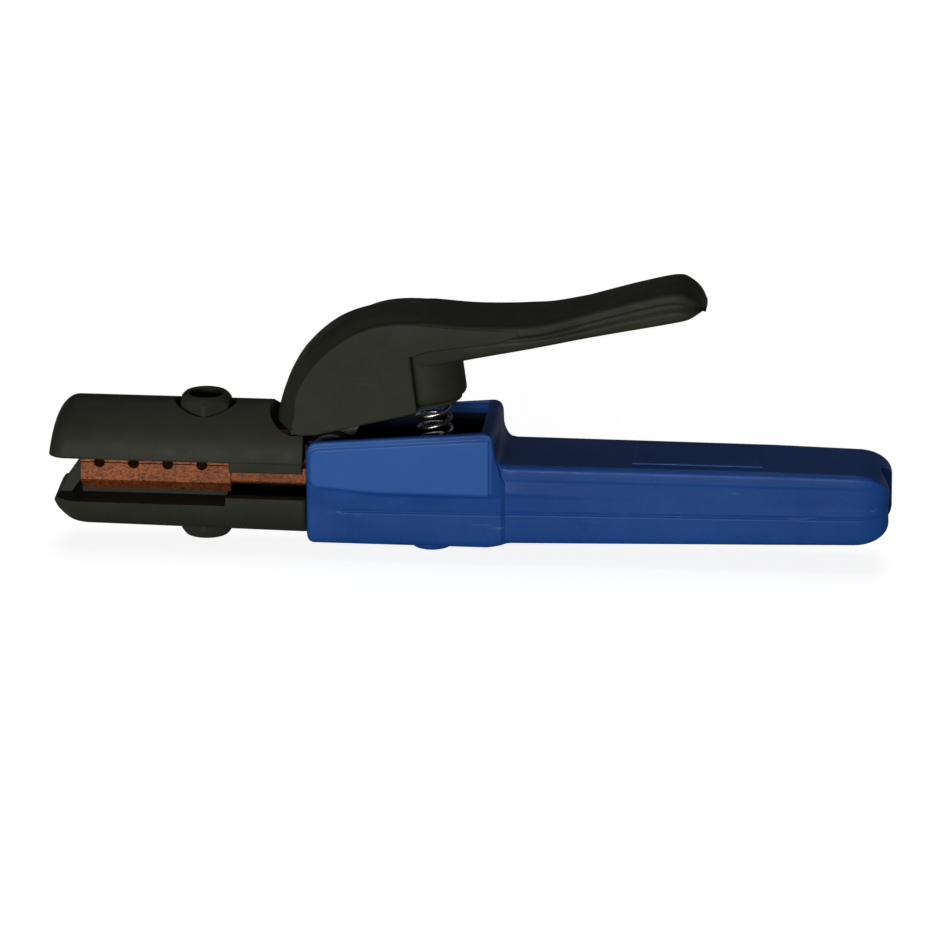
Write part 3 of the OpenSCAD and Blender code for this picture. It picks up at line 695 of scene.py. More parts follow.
@dataclass(frozen=True)
class Fibre:
    """Pressed fibre: matt, with a felted pattern of threads."""

    name: str = "pressed_fibre"
    base: Colour = (0.15, 0.040, 0.016)
    thread: Colour = (0.23, 0.075, 0.034)

    def build(self) -> bpy.types.Material:
        """Makes the material."""
        g = Graph(self.name)
        felt = g.noise(900, 4, 0.7, (1, 3, 1))
        g.put("Base Color", g.mix(g.span(felt, 0.4, 0.62), self.base, self.thread))
        g.put("Roughness", 0.8)
        g.put("Normal", g.bumped(felt, 0.00003))
        return g.material


class Wardrobe:
    """Builds each finish once and gives it to the pieces of its slot."""

    def __init__(self) -> None:
        """Makes the materials of all slots."""
        blue_shade, blue_light = (0.004, 0.034, 0.155), (0.008, 0.046, 0.190)
        # The handle's material carries painted shade in its box and painted light on its side panels.
        handle = PaintedLightMoulding("blue_handle", blue_shade, blue_light, (0.10, 0.17, 0.34), specular=0.12)
        black = Moulding("black_mouldings", (0.0150, 0.0165, 0.0105), (0.0240, 0.0260, 0.0175),
                         (0.040, 0.037, 0.028), rough=0.5, specular=0.07, streaks=0.3)
        finishes = {
            Slot.BLUE: handle,
            Slot.BLACK: black,
            Slot.COPPER: CastCopper(),
            Slot.BRASS: Metal("socket_brass", (0.62, 0.42, 0.13), (0.36, 0.22, 0.07)),
            Slot.FERRULE: Metal("ferrule_copper", (0.72, 0.31, 0.17), (0.40, 0.15, 0.08), 0.28),
            Slot.BUSH: Metal("bush_bronze", (0.50, 0.30, 0.12), (0.28, 0.16, 0.07), 0.36),
            Slot.STEEL: Metal("zinc_steel", (0.55, 0.55, 0.54), (0.30, 0.30, 0.29), 0.30),
            Slot.DARK_STEEL: Metal("black_steel", (0.10, 0.10, 0.10), (0.05, 0.048, 0.045), 0.38),
            Slot.SPRING: Metal("spring_steel", (0.42, 0.42, 0.41), (0.17, 0.165, 0.16), 0.26),
            Slot.FIBRE: Fibre(),
        }
        self.of = {slot: finish.build() for slot, finish in finishes.items()}
        self.slot_of_node = {
            row["node"]: Slot(row["material_slot"]) for row in frame["record"]["subparts"]}

    def dress(self, piece: bpy.types.Object, slot: Slot) -> None:
        """Gives a piece the material of a slot."""
        piece.data.materials.clear()
        piece.data.materials.append(self.of[slot])

    def finish(self, piece: bpy.types.Object, slot: Slot, body: Body, *nodes: str) -> bpy.types.Object:
        """Dresses a piece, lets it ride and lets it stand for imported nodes.

        Args:
            piece: the piece.
            slot: its material slot.
            body: the body it rides on.
            *nodes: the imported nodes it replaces.

        Returns:
            The piece.
        """
        self.dress(piece, slot)
        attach(piece, body.value)
        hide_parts(*nodes)
        return piece

    def dress_nodes(self) -> list[str]:
        """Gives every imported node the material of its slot, and names the nodes that stay visible."""
        kept = []
        for name, node in frame["nodes"].items():
            for place in node.material_slots:
                place.material = self.of[self.slot_of_node[name]]
            if not node.hide_render:
                kept.append(name)
        return kept


# ------------------------------------------------------------------ handle


@dataclass
class Handle:
    """The blue moulded handle: an open box round the pivot, and a grip behind it."""

    x0: float = 60.2
    x1: float = 225.9
    box_x1: float = 114.0
    rim_front: float = 10.4
    rim_back: float = 15.0
    depth: float = 20.2
    tail_depth: float = 16.6
    box_half: float = 16.7
    body_half: float = 15.2
    grip_half: float = 14.5
    tail_half: float = 13.2
    grip_top: float = 4.7
    grip_fall: float = 0.6
    bend: float = 34.0
    end_l: float = 9.5
    end_r: float = 5.8
    corner: float = 3.2
    panel_lift: float = 0.42
    rib_half: float = 8.0
    rib: tuple[float, float] = (69.9, 205.9)
    panel_x0: float = 61.4
    bay_half: float = 13.7
    bay_x1: float = 110.3
    floor: float = -17.2
    bore: tuple[float, float] = (-6.3, 8.6)
    screw_x: float = 94.8

    def stations(self) -> Array:
        """Distances of the sections, closest together where the shape changes fast."""
        lead = self.x0 + 3.2 * (1 - np.cos(np.linspace(0, math.pi / 2, 14)))
        wall = np.array([113.94, 113.98, 114.02, 114.06])
        tail = self.x1 - self.end_l * (1 - np.sin(np.linspace(0, math.pi / 2, 24)))
        return np.unique(np.round(np.concatenate([
            lead, np.arange(63.5, 110.5, 1.0), np.arange(110.6, 119.4, 0.2), wall,
            np.arange(119.5, self.x1 - self.end_l, 1.3), tail,
            [self.rib[0], self.rib[0] + 0.2, self.rib[0] + 1.5,
             self.rib[1], self.rib[1] - 0.2, self.rib[1] - 1.5]]), 4))

    def rim(self, x: Array) -> Array:
        """Height of the box's rim, a straight slope from front to rear."""
        return self.rim_front + (self.rim_back - self.rim_front) * (x - self.x0) / (self.box_x1 - self.x0)

    def end_inset(self, x: Array) -> Array:
        """How far the grip's rounded end lies inside its full size."""
        return self.end_r / self.end_l * quarter(x, self.x1, -self.end_l)

    def top(self, x: Array) -> Array:
        """Height of the top: the rim with rounded corners, a wall, a flare and the grip."""
        box = self.rim(x) - quarter(x, self.x0, self.corner) - quarter(x, self.box_x1, -self.corner)
        flare = np.interp(x, [114.06, 114.35, 114.8, 115.5, 116.6, 118.2], [4.0, 2.75, 1.8, 1.0, 0.35, 0])
        grip = self.grip_top + flare - self.grip_fall * np.clip((x - self.x1 + self.bend) / self.bend, 0, 1)
        share = np.clip((x - 113.94) / 0.12, 0, 1)
        return np.where(x <= 113.94, box, box * (1 - share) + grip * share) - self.end_inset(x)

    def bottom(self, x: Array) -> Array:
        """Height of the underside: level under the box, then rising slightly to the end."""
        t = np.clip((x - self.x0) / (self.x1 - self.x0), 0, 1)
        slope = -self.depth * (1 - t) - self.tail_depth * t
        share = ease(x, 111, 119)
        level = -self.depth * (1 - share) + slope * share
        return level + quarter(x, self.x0, 2.2) + self.end_inset(x)

    def half_width(self, x: Array) -> tuple[Array, Array, Array]:
        """Half widths of the box's upper part, of its body and of the grip."""
        grip = np.interp(x, [108, 191.9, self.x1], [self.grip_half, 13.75, self.tail_half])
        chamfer = np.interp(x, [113.4, 117.0], [self.box_half, self.grip_half])
        upper = np.where(x < 117, chamfer, grip)
        body = np.minimum(np.where(x < 117, self.body_half, grip + 0.05), upper)
        inset = quarter(x, self.x0, 1.3) + 0.8 * self.end_inset(x)
        return upper - inset, body - inset, grip - inset

    def ledge(self, x: Array) -> Array:
        """Height of the thin ledge that runs along the side."""
        return np.interp(x, [70, self.x1], [-10.2, -8.6]) + 0.25 * self.end_inset(x)

    def sections(self, x: Array) -> Array:
        """Half sections of the outside.

        Each section is a polyline from the middle of the top to the middle of the underside.
        Its corners are the rim, the raised side panel, the ledge, the keel and the rib, and
        each corner's place is a formula of the distance along the handle.

        Args:
            x: the distances.

        Returns:
            The half sections, as distances x samples x 2.
        """
        top, low = self.top(x), self.bottom(x)
        upper, body, grip = self.half_width(x)
        box = 1 - ease(x, 112.7, 116.6)
        panel = ease(x, 61.0, 61.8) * (1 - ease(x, 112.2, 112.9))
        lift = self.panel_lift * panel
        border = upper - self.panel_lift * box
        grip_share = 1 - box
        corner = quarter(x, self.panel_x0, 2.2)
        panel_top = np.where(x < 114, self.rim(x), self.rim(np.full_like(x, 114))) - 2.1 - corner
        panel_top = panel_top * box + (self.grip_top - 4.2) * grip_share
        panel_top = np.minimum(panel_top, top - 0.8)
        waist = -2.6 - 1.6 * ease(x, 60, 84) + 0.8 * corner
        waist = waist * box + (-3.9 - 0.008 * (x - 114)) * grip_share
        ridge = 0.5 * np.exp(-np.clip(x - 115, 0, None) / 17) * grip_share
        ledge = self.ledge(x)
        edge = ease(x, 68.5, 71.5)
        rib_height = np.interp(x, [self.rib[0], self.rib[0] + 1.5, self.rib[1] - 1.5, self.rib[1]],
                               [0.6, 1.7, 1.0, 0.3])
        rib_low = np.interp(x, [self.rib[0] + 1.5, self.rib[1]], [-self.depth - 1.7, -18.03])
        in_rib = (x >= self.rib[0]) & (x <= self.rib[1])
        rib_low = np.where(in_rib, np.where(rib_height < 1, low - rib_height, rib_low), low - 0.02)
        rib_low = np.minimum(rib_low, low - 0.02)
        shoulder = border * box + grip * grip_share
        top_edge = 1.1 * box + np.interp(x, [118, 191.9, 216, self.x1], [2.6, 3.6, 5, 5]) * grip_share
        soft = 0.5 * box + 2.2 * grip_share
        knots = polylines(
            (0, top), (shoulder, top), (shoulder + 0.12 * grip_share, panel_top + 0.3),
            (border + lift + 0.2 * ridge * grip_share, panel_top - 0.3),
            (border + lift + ridge, waist + 0.45), (body + 0.35 * box + ridge * 0.55, waist - 0.55),
            (body + 0.07 * grip_share, ledge + 0.85), (body - 0.22 * edge, ledge + 0.22),
            (body + 0.18 * edge, ledge - 0.3), (body + 0.1 * edge, np.minimum(low + 5.2, ledge - 0.7)),
            (body, low), (self.rib_half + 0.25, low), (self.rib_half, rib_low), (0, rib_low))
        radii = np.stack(np.broadcast_arrays(
            0, top_edge, soft, soft, 0.6 * box + 2.6 * grip_share, 0.8 * box + 2.6 * grip_share,
            0.6, 0.16, 0.35, 1.0, 4.9, 0.25, 0.5, 0), axis=1)
        return rounded(knots, radii, 6)

    def bay_cutter(self) -> bpy.types.Object:
        """The room for the casting, which widens a little at the rim.

        A section is a U from above the rim down to the floor. Its walls are upright up to a
        millimetre below the rim, where they lean outwards on a small quarter circle.

        Returns:
            The cutter.
        """
        x = np.concatenate([[57.0], np.linspace(59.5, self.bay_x1 - 0.6, 40),
                            [self.bay_x1 - 0.2, self.bay_x1]])
        rim = np.minimum(self.rim(np.clip(x, self.x0, self.box_x1)), 20)
        inset = np.where(x > self.bay_x1 - 0.5, 0.25, 0.0)
        half, low = self.bay_half - inset, self.floor + inset
        lean = [(half + 0.9 * math.cos(a), rim - 0.9 * math.sin(a)) for a in np.linspace(0, math.pi / 2, 5)]
        line = polylines((0, rim + 8), (half + 1.4, rim + 8), (half + 1.4, rim + 0.1), *lean,
                         (half, low), (0, low))
        radii = np.zeros(line.shape[:2])
        radii[:, -2] = 2.6
        return skin("bay_cutter", loft_rings(x, rounded(line, radii, 6)))

    def bore_cutter(self) -> bpy.types.Object:
        """The cable's way through the grip, a tenth of a millimetre wider at its mouth."""
        z, r = self.bore
        mouth = np.linspace(0, math.pi / 2, 7)
        x = np.concatenate([[self.bay_x1 - 2, 140, 180], self.x1 - 6 + 0.4 * np.sin(mouth), [self.x1 + 2]])
        radius = np.concatenate([[r, r, r], r + 0.1 * (1 - np.cos(mouth)), [r + 0.1]])
        rings = turned_rings(np.stack([radius, x], 1), 72)
        return skin("bore_cutter", np.stack([rings[..., 2], rings[..., 1], z + rings[..., 0]], axis=2))

    def screw_cutter(self) -> bpy.types.Object:
        """The counterbore and hole of the handle screw."""
        profile = [[6.75, -23.0], [6.75, -22.1], [6.25, -21.4], [6.15, -21.2], [6.15, -19.7], [3.3, -19.7],
                   [3.3, -15.0]]
        return turned("screw_cutter", profile, 64, self.screw_x)

    def plate(self) -> bpy.types.Object:
        """The bare plate on the grip, a low pad with a slanted rear end.

        The pad's outline in plan is a rectangle whose rear side slants, and its height is the
        lift less a small rounding at the outline.

        Returns:
            The pad, to be added to the handle.
        """
        front, rear, half = 152.8, 188.4, 8.9
        corners = np.array([[front, -half], [rear + 1.6, -half], [rear - 3.2, half], [front, half]])
        outline = smoothed(smoothed(smoothed(corners)))
        rings = slab_rings(outline, 2.2, 0.3, 3)
        placed = np.stack([rings[..., 0], rings[..., 2], rings[..., 1] + self.grip_top - 1.8], axis=2)
        return skin("plate_pad", placed)

    def build(self, wardrobe: Wardrobe) -> list[bpy.types.Object]:
        """Makes the handle and its cap."""
        x = self.stations()
        shell = skin("handle_shell", loft_rings(x, self.sections(x)))
        work_in(shell, [self.plate()], Joining.ADD)
        work_in(shell, [self.bay_cutter(), self.bore_cutter(), self.screw_cutter()], Joining.CUT)
        soften(shell, 30)
        wardrobe.finish(shell, Slot.BLUE, Body.HANDLE, "handle_grip")
        return [shell, self.cap(wardrobe)]

    def cap(self, wardrobe: Wardrobe) -> bpy.types.Object:
        """The domed cap over the handle screw.

        The cap is turned: a dome of 14 mm radius, a rounded rim, a straight side and a hollow
        for the screw's head.
        """
        low = -25.2
        r = np.linspace(0.02, 5.0, 16)
        dome = np.stack([r, low + 14 - np.sqrt(196 - r ** 2)], 1)
        a = np.linspace(0.35, math.pi / 2, 8)
        rim = np.stack([5.0 + 1.0 * np.sin(a), low + 2.05 - 1.05 * np.cos(a)], 1)
        side = np.array([[6.0, -22.0], [6.0, -20.1], [5.9, -20.0], [4.6, -20.0], [4.5, -20.1], [4.5, -22.9],
                         [4.3, -23.0], [0.02, -23.0]])
        profile = np.vstack([dome, rim, side])
        cap = turned("screw_cap", profile, 72, self.screw_x)
        return wardrobe.finish(cap, Slot.BLUE, Body.HANDLE, "handle_screw_cap")


# ------------------------------------------------------------------ lever


@dataclass
class Lever:
    """The black moulded lever: a hump over the pivot, a thumb plate, a rail and a boss."""

    half: float = 13.0
    plate_half: float = 10.5
    rail_half: float = 11.0
    plate_t: float = 2.6
    tip: float = 106.4
    seat: tuple[float, float] = (96.8, 4.4)
    lean: float = 7.8
    ridge: list[list[float]] = field(default_factory=lambda: [
        [-15.6, 11], [-13.1, 20.5], [-7.8, 29.7], [1.1, 37.7], [11.6, 41.4], [24, 41.9], [41, 41],
        [58, 41.8], [69.4, 44.2], [86.4, 49.2], [97.4, 51.8], [101.8, 50.8], [105, 48.4], [106.4, 45.8]])
    cheek: list[list[float]] = field(default_factory=lambda: [
        [-11.6, 8.6], [-10.6, 13], [-9.4, 20.5], [-3, 30.4], [7.6, 38.3], [19.8, 41.4], [41, 40.5],
        [60, 40.7]])
    rail: list[list[float]] = field(default_factory=lambda: [
        [26, 27], [41, 30.4], [58, 34], [74.4, 37.7], [96.4, 42.3], [105.4, 44.5]])

    def placed(self, rings: Array) -> Array:
        """Moves rings from the pivot's own place to the row frame."""
        return rings + np.array([PIVOT[0], 0, PIVOT[1]])

    def plan(self, x: Array, wide: float, narrow: float, r: float) -> Array:
        """Half width of the tail in plan: tapered, then rounded by a quarter circle at the tip."""
        return np.interp(x, [56, 72], [wide, narrow]) - quarter(x, self.tip - 0.1, -r)

    def crown(self) -> bpy.types.Object:
        """The hump's crown.

        In polar terms about a point inside the hump, its surface runs across Y from the ridge
        line, in the middle, over a round shoulder and through a cove to the cheek's edge. The
        share of the cheek's radius in the mix rises as an S from 4.5 to 12.5 mm off the middle.

        Returns:
            The crown, to be joined with the cheeks.
        """
        centre = np.array([22.0, 8.0])
        ridge = smooth_line([[-11.9, 7.5], [-14.7, 8.7]] + self.ridge[:8], 16) - centre
        cheek = smooth_line([[-11.3, 7.4]] + self.cheek, 16) - centre
        angle = np.linspace(math.radians(180.7), math.radians(66), 110)

        def radius(line: Array) -> Array:
            """The line's radius at each angle."""
            turn = np.unwrap(np.arctan2(line[:, 1], line[:, 0]) % (2 * math.pi))
            order = np.argsort(turn)
            return np.interp(angle, turn[order], np.linalg.norm(line, axis=1)[order])

        outer = radius(ridge) - 0.5 * ease(-angle, -math.radians(80), -math.radians(68))
        edge = np.minimum(radius(cheek) - 0.35, outer - 0.05)
        y = np.linspace(-12.7, 12.7, 61)
        t = np.clip((np.abs(y) - 4.2) / 8.2, 0, 1)
        share = 0.55 * t ** 2.2 + 0.45 * t ** 2 * (3 - 2 * t)
        surface = outer[:, None] * (1 - share) + edge[:, None] * share
        inner = edge[:, None] - 5 * np.ones(2)
        radii = np.concatenate([surface, inner], axis=1)
        across = np.concatenate([y, [12.7, -12.7]])
        rings = np.stack([
            centre[0] + radii * np.cos(angle)[:, None],
            np.broadcast_to(across, radii.shape),
            centre[1] + radii * np.sin(angle)[:, None]], axis=2)
        return skin("crown_part", self.placed(rings))

    def cheeks(self) -> bpy.types.Object:
        """The flat cheeks with the web behind them, one plate with rounded edges."""
        back = np.array([[54, 40.4], [54, 38.4], [46.8, 35.9], [29.8, 33.4], [23, 31.6], [25, 14.9],
                         [-4, 7.4], [-9.2, 7.1]])
        edge = smooth_line(self.cheek, 10)
        outline = smoothed(np.vstack([edge[edge[:, 0] < 53], back]))
        return skin("cheek_part", self.placed(slab_rings(outline, self.half, 0.75)))

    def tail(self) -> bpy.types.Object:
        """The tail: the thumb plate with its lip, and the finger rail under it.

        A section is a polyline from the middle of the top to the middle of the underside, with
        corners at the plate's edge, at its lip, at the rail's side and at its sole. The plate's
        and the rail's half widths shrink to the rounded tip.

        Returns:
            The tail, to be joined with the hump.
        """
        top = smooth_line(self.ridge, 24)
        low = smooth_line([[12, 24.5]] + self.rail, 24)
        bend = np.linspace(0, math.pi / 2, 22)
        x = np.concatenate([np.linspace(18, 92, 90), 92.2 + 14.1 * np.sin(bend)])
        height = np.interp(x, *self.upper_part(top))
        height = height - 0.9 * (1 - ease(x, 18, 29))
        sole = np.interp(x, low[:, 0], low[:, 1])
        sole = np.where(x > 100, np.minimum(sole + 0.9 * ease(x, 101, 106.3), height - 1.2), sole)
        plate = np.maximum(self.plan(x, self.half - 0.15, self.plate_half, 8.5), 1.5)
        rail = np.maximum(self.plan(x, self.rail_half, self.rail_half - 0.3, 6.5), 1.2)
        rail = np.minimum(rail, self.rail_half * ease(x, 17, 27) * 0.25 + self.rail_half * 0.75)
        room = np.maximum(height - sole, 1.5)
        lip = np.minimum(self.plate_t, 0.34 * room)
        tuck = ease(x, 58, 70)
        knots = polylines(
            (0, height), (plate * 0.55, height), (plate - 0.15, height - 0.12), (plate + 0.05, height - lip),
            (plate - 0.9, height - lip - 0.45),
            (rail - 0.75 - 0.3 * tuck, height - lip - 0.75 - 0.1 * room),
            (rail, sole + 0.52 * (room - lip)), (rail - 0.35, sole + 0.9), (rail - 2.2, sole), (0, sole))
        radii = np.broadcast_to(np.array([0, 3, 1.0, 0.5, 0.35, 0.7, 1.6, 1.2, 1.4, 0]), knots.shape[:2])
        return skin("tail_part", self.placed(loft_rings(x, rounded(knots, radii, 6))))

    def upper_part(self, line: Array) -> tuple[Array, Array]:
        """The part of the ridge line that is a height over x, as two rows."""
        keep = line[:, 0] > 5
        order = np.argsort(line[keep][:, 0])
        return line[keep][order, 0], line[keep][order, 1]

    def on_axis(self, rings: Array) -> Array:
        """Turns rings about Z onto the spring's leaning axis."""
        c, s = math.cos(math.radians(self.lean)), math.sin(math.radians(self.lean))
        x, y, z = rings[..., 0], rings[..., 1], rings[..., 2]
        return np.stack([self.seat[0] + c * x - s * z, y, self.seat[1] + s * x + c * z], axis=-1)

    def boss(self) -> bpy.types.Object:
        """The boss over the spring, turned, with a stepped and chamfered mouth."""
        profile = np.array([[8.5, 15.0], [8.8, 15.2], [8.85, 15.9], [9.3, 16.4], [10.1, 16.9], [10.45, 17.6],
                            [10.5, 19], [10.5, 25], [10.5, 34], [9.8, 34.4]])
        return skin("boss_part", self.on_axis(turned_rings(profile, 72)))

    def cutters(self) -> list[bpy.types.Object]:
        """The hump's hollow, the slots of the steel-cored arm, the spring's pocket and its screw hole."""
        hollow = smoothed(np.array([[-7, -2], [-7, 16.8], [-1, 26], [8, 31.8], [15, 33.5], [15, -2]]))
        under = smooth_line([[5, 2.5], [11, 15], [19, 26.3], [30, 28.5], [50, 34.3]], 6)
        over = smooth_line([[50, 38.1], [28, 36.5], [14, 32.9], [1, 18], [-4.5, 3]], 6)
        tang = smoothed(np.vstack([under, over]))
        well = smoothed(np.array([[-8, -2], [17, -2], [17, 25.9], [-4, 12]]))
        pocket = np.array([[7.2, 13.5], [6.6, 15.2], [6.0, 15.8], [6.0, 25.0]])
        hole = np.array([[2.15, 24.0], [2.15, 33.2]])
        return [
            skin("hollow_cutter", self.placed(slab_rings(hollow, 9.0, 1.0))),
            skin("tang_cutter", self.placed(slab_rings(tang, 4.15, 0.1, 1))),
            skin("well_cutter", self.placed(slab_rings(well, 4.15, 0.1, 1))),
            skin("pocket_cutter", self.on_axis(turned_rings(pocket, 60))),
            skin("hole_cutter", self.on_axis(turned_rings(hole, 32))),
        ]

    def build(self, wardrobe: Wardrobe) -> list[bpy.types.Object]:
        """Makes the lever."""
        cover = self.cheeks()
        cover.name = "lever_shell"
        work_in(cover, [self.crown(), self.tail(), self.boss()], Joining.ADD)
        work_in(cover, self.cutters(), Joining.CUT)
        soften(cover, 28)
        return [wardrobe.finish(cover, Slot.BLACK, Body.LEVER, "lever_cover")]


# ------------------------------------------------------------------ insulators


@dataclass
class UpperInsulator:
    """The upper jaw's insulator: a half-round hood with a domed front and two skirts."""

    x0: float = -14.2
    x1: float = 59.1
    eave: float = 2.9
    radius: float = 14.5
    dome: float = 7.6
    skirt_x: float = 37.9

    def sections(self, x: Array) -> Array:
        """Half sections: a quarter ellipse down to a bead, and a level underside.

        The ellipse is as wide as the plan, whose front corners are rounded, and as high as the
        dome, a quarter ellipse along X. The bead is a small round at its lower edge.

        Args:
            x: the distances.

        Returns:
            The half sections.
        """
        high = self.radius * (1 - 0.94 / self.dome * quarter(x, self.x0, self.dome))
        wide = self.radius - quarter(x, self.x0, 5.0)
        bead = np.minimum(0.9, 0.3 * high)
        angle = np.linspace(math.pi / 2, 0.06, 40)
        arc = np.stack([wide[:, None] * np.cos(angle), self.eave + high[:, None] * np.sin(angle)], axis=2)
        turn = np.linspace(0.1, math.pi / 2, 6)
        lower = np.stack([wide[:, None] - bead[:, None] * (1 - np.cos(turn)),
                          self.eave + bead[:, None] * 0.75 * (1 - np.sin(turn)) + 0 * wide[:, None]], axis=2)
        floor = polylines((4.0, self.eave + 0 * x), (0, self.eave))
        return np.concatenate([arc, lower, floor], axis=1)

    def skirts(self) -> list[bpy.types.Object]:
        """The skirts beside the neck, two plates just inside the hood's sides."""
        corners = [[self.skirt_x, 0.15], [self.x1 - 0.25, 0.15], [self.x1 - 0.05, 5.5], [self.skirt_x, 5.5]]
        return [block("skirt_part", corners, 1.45, 0.45, y) for y in (12.75, -12.75)]

    def cutters(self) -> list[bpy.types.Object]:
        """The jaw's pocket, the neck's slot, the hump's notch, the rear cut and the screw's seat."""
        def box(name: str, x: tuple[float, float], half: float, z: tuple[float, float],
                edge: float = 0.2) -> bpy.types.Object:
            """A block with an oblong outline."""
            return block(name, [[x[0], z[0]], [x[1], z[0]], [x[1], z[1]], [x[0], z[1]]], half, edge, splits=1)

        turn = np.linspace(math.pi, math.pi / 2, 9)
        front = np.stack([48.9 + 7 + 7 * np.cos(turn), 5 + 7 * np.sin(turn)], 1)
        plan = np.vstack([front, [[70, 12], [70, -12]], (front * np.array([1, -1]))[::-1]])
        levels = np.array([[7.15, 0.0], [16.4, 0.0], [17.1, 0.2], [17.6, 0.7], [20.0, 1.4]])
        centre = np.array([60.0, 0.0])
        away = plan - centre
        away /= np.linalg.norm(away, axis=1, keepdims=True)
        rings = np.concatenate([
            plan[None] + away[None] * levels[:, 1][:, None, None],
            np.broadcast_to(levels[:, 0][:, None, None], (len(levels), len(plan), 1))], axis=2)
        seat = [[3.3, 0.0], [3.3, 9.7], [8.38, 9.7], [8.38, 15.2], [8.9, 17.0], [9.6, 19.0]]
        return [
            box("pocket_cutter", (-5.7, 37.9), 7.65, (-1, 8.2)),
            box("neck_cutter", (36.6, 62), 6.65, (-1, 7.35)),
            skin("notch_cutter", rings),
            box("rear_cutter", (54.8, 62), 20, (11.1, 22), 0.1),
            turned("seat_cutter", seat, 64, SCREW_X),
        ]

    def build(self, wardrobe: Wardrobe) -> list[bpy.types.Object]:
        """Makes the insulator."""
        lead = self.x0 + self.dome * (1 - np.cos(np.linspace(0, math.pi / 2, 26)))
        x = np.concatenate([lead, np.linspace(-5.5, self.x1 - 0.6, 50), [self.x1 - 0.2, self.x1]])
        half = self.sections(x)
        half[-1, :, 0] *= 0.985
        hood = skin("upper_insulator", loft_rings(x, half))
        work_in(hood, self.skirts(), Joining.ADD)
        work_in(hood, self.cutters(), Joining.CUT)
        soften(hood, 32)
        return [wardrobe.finish(hood, Slot.BLACK, Body.LEVER, "upper_jaw_insulator")]


@dataclass
class LowerInsulator:
    """The lower jaw's insulator: a trough with a nose wall, open windows and a rear bay."""

    x0: float = -13.2
    x1: float = 60.0
    half: float = 14.5
    sill: float = -9.8
    curb: float = -7.4
    nose_top: list[list[float]] = field(default_factory=lambda: [
        [0.0, -12.0], [0.12, -11.2], [0.4, -10.6], [1.0, -9.9], [1.6, -9.2], [7.7, -0.15]])
    nose_low: list[list[float]] = field(default_factory=lambda: [
        [0.0, -12.0], [0.14, -13.1], [0.5, -14.0], [1.05, -15.2], [1.8, -16.2], [2.8, -17.2], [4.0, -18.0],
        [5.6, -18.6], [7.4, -18.98], [9.5, -19.25]])

    def sections(self, x: Array) -> Array:
        """Half sections: a level top, an upright side and a keel rounded by 12 mm.

        The top and the underside follow the nose's two lines at the front, and the plan's
        front corners are rounded by 8 mm.

        Args:
            x: the distances.

        Returns:
            The half sections.
        """
        d = x - self.x0
        upper, lower = np.array(self.nose_top), np.array(self.nose_low)
        top = np.interp(d, upper[:, 0], upper[:, 1])
        slope = -19.1 - 0.9 * d / (self.x1 - self.x0)
        low = np.where(d < 9.5, np.interp(d, lower[:, 0], lower[:, 1]), slope)
        low = np.maximum(low, slope)
        wide = self.half - quarter(x, self.x0, 8.0)
        keel = np.minimum(12.0, wide)
        rise = np.minimum(11.0, 0.96 * (top - low))
        angle = np.linspace(0, math.pi / 2, 26)
        arc = np.stack([
            (wide - keel)[:, None] + keel[:, None] * np.cos(angle),
            (low + rise)[:, None] - rise[:, None] * np.sin(angle)], axis=2)
        upright = np.stack([
            np.broadcast_to(wide[:, None], (len(x), 6)),
            top[:, None] + (low + rise - top)[:, None] * np.linspace(0, 0.95, 6)], axis=2)
        middle = polylines((0, top), (wide * 0.6, top))
        return np.concatenate([middle, upright, arc, polylines((0, low))], axis=1)

    def cutters(self) -> list[bpy.types.Object]:
        """Windows, the jaw's room, the rear bay, the curbs and the screw's seat."""
        window = [[self.x0 - 3, self.sill], [36.4, self.sill], [37.0, self.sill + 0.6], [37.0, 3],
                  [self.x0 - 3, 3]]
        room = [[-5.7, 3], [-5.7, -5.9], [-8.4, self.sill], [38, self.sill], [38, 3]]
        bay = [[37.0, 3], [37.0, -12.9], [37.6, -13.5], [64, -13.5], [64, 3]]
        seat = [[9.4, -22.5], [8.7, -20.2], [8.38, -18.4], [8.38, -11.2], [3.3, -11.2], [3.3, -2]]
        return [
            block("window_cutter", window, 6.0, 0.3, 11.0), block("window_cutter", window, 6.0, 0.3, -11.0),
            block("room_cutter", room, 7.65),
            block("bay_cutter", bay, self.half - 3.2, 1.2),
            block("curb_cutter", [[37.0, 3], [37.0, self.curb + 0.3], [37.3, self.curb], [64, self.curb],
                                  [64, 3]], 20.0, 0.1),
            turned("seat_cutter", seat, 64, SCREW_X),
        ]

    def build(self, wardrobe: Wardrobe) -> list[bpy.types.Object]:
        """Makes the insulator."""
        lead = self.x0 + 9.5 * (1 - np.cos(np.linspace(0.02, math.pi / 2, 34)))
        x = np.concatenate([lead, np.linspace(-3.0, self.x1 - 2.4, 48),
                            self.x1 - 2.4 + 2.4 * np.sin(np.linspace(0.2, math.pi / 2, 8))])
        half = self.sections(x)
        inset = quarter(x, self.x1, -1.6)
        half[..., 0] *= 1 - inset[:, None] / self.half
        half[..., 1] = np.maximum(half[..., 1], -20 + inset[:, None])
        trough = skin("lower_insulator", loft_rings(x, half))
        work_in(trough, self.cutters(), Joining.CUT)
        pad = [[-5.4, -10.3], [36.6, -10.3], [36.6, -8.2], [-5.4, -8.2]]
        work_in(trough, [block("pad_part", pad, 4.5, 0.2, splits=1)], Joining.ADD)
        work_in(trough, [turned("hole_cutter", [[3.3, -12], [3.3, -6]], 48, SCREW_X)], Joining.CUT)
        round_edges(trough, 0.45, 46, 2)
        return [wardrobe.finish(trough, Slot.BLACK, Body.HANDLE, "lower_jaw_insulator")]


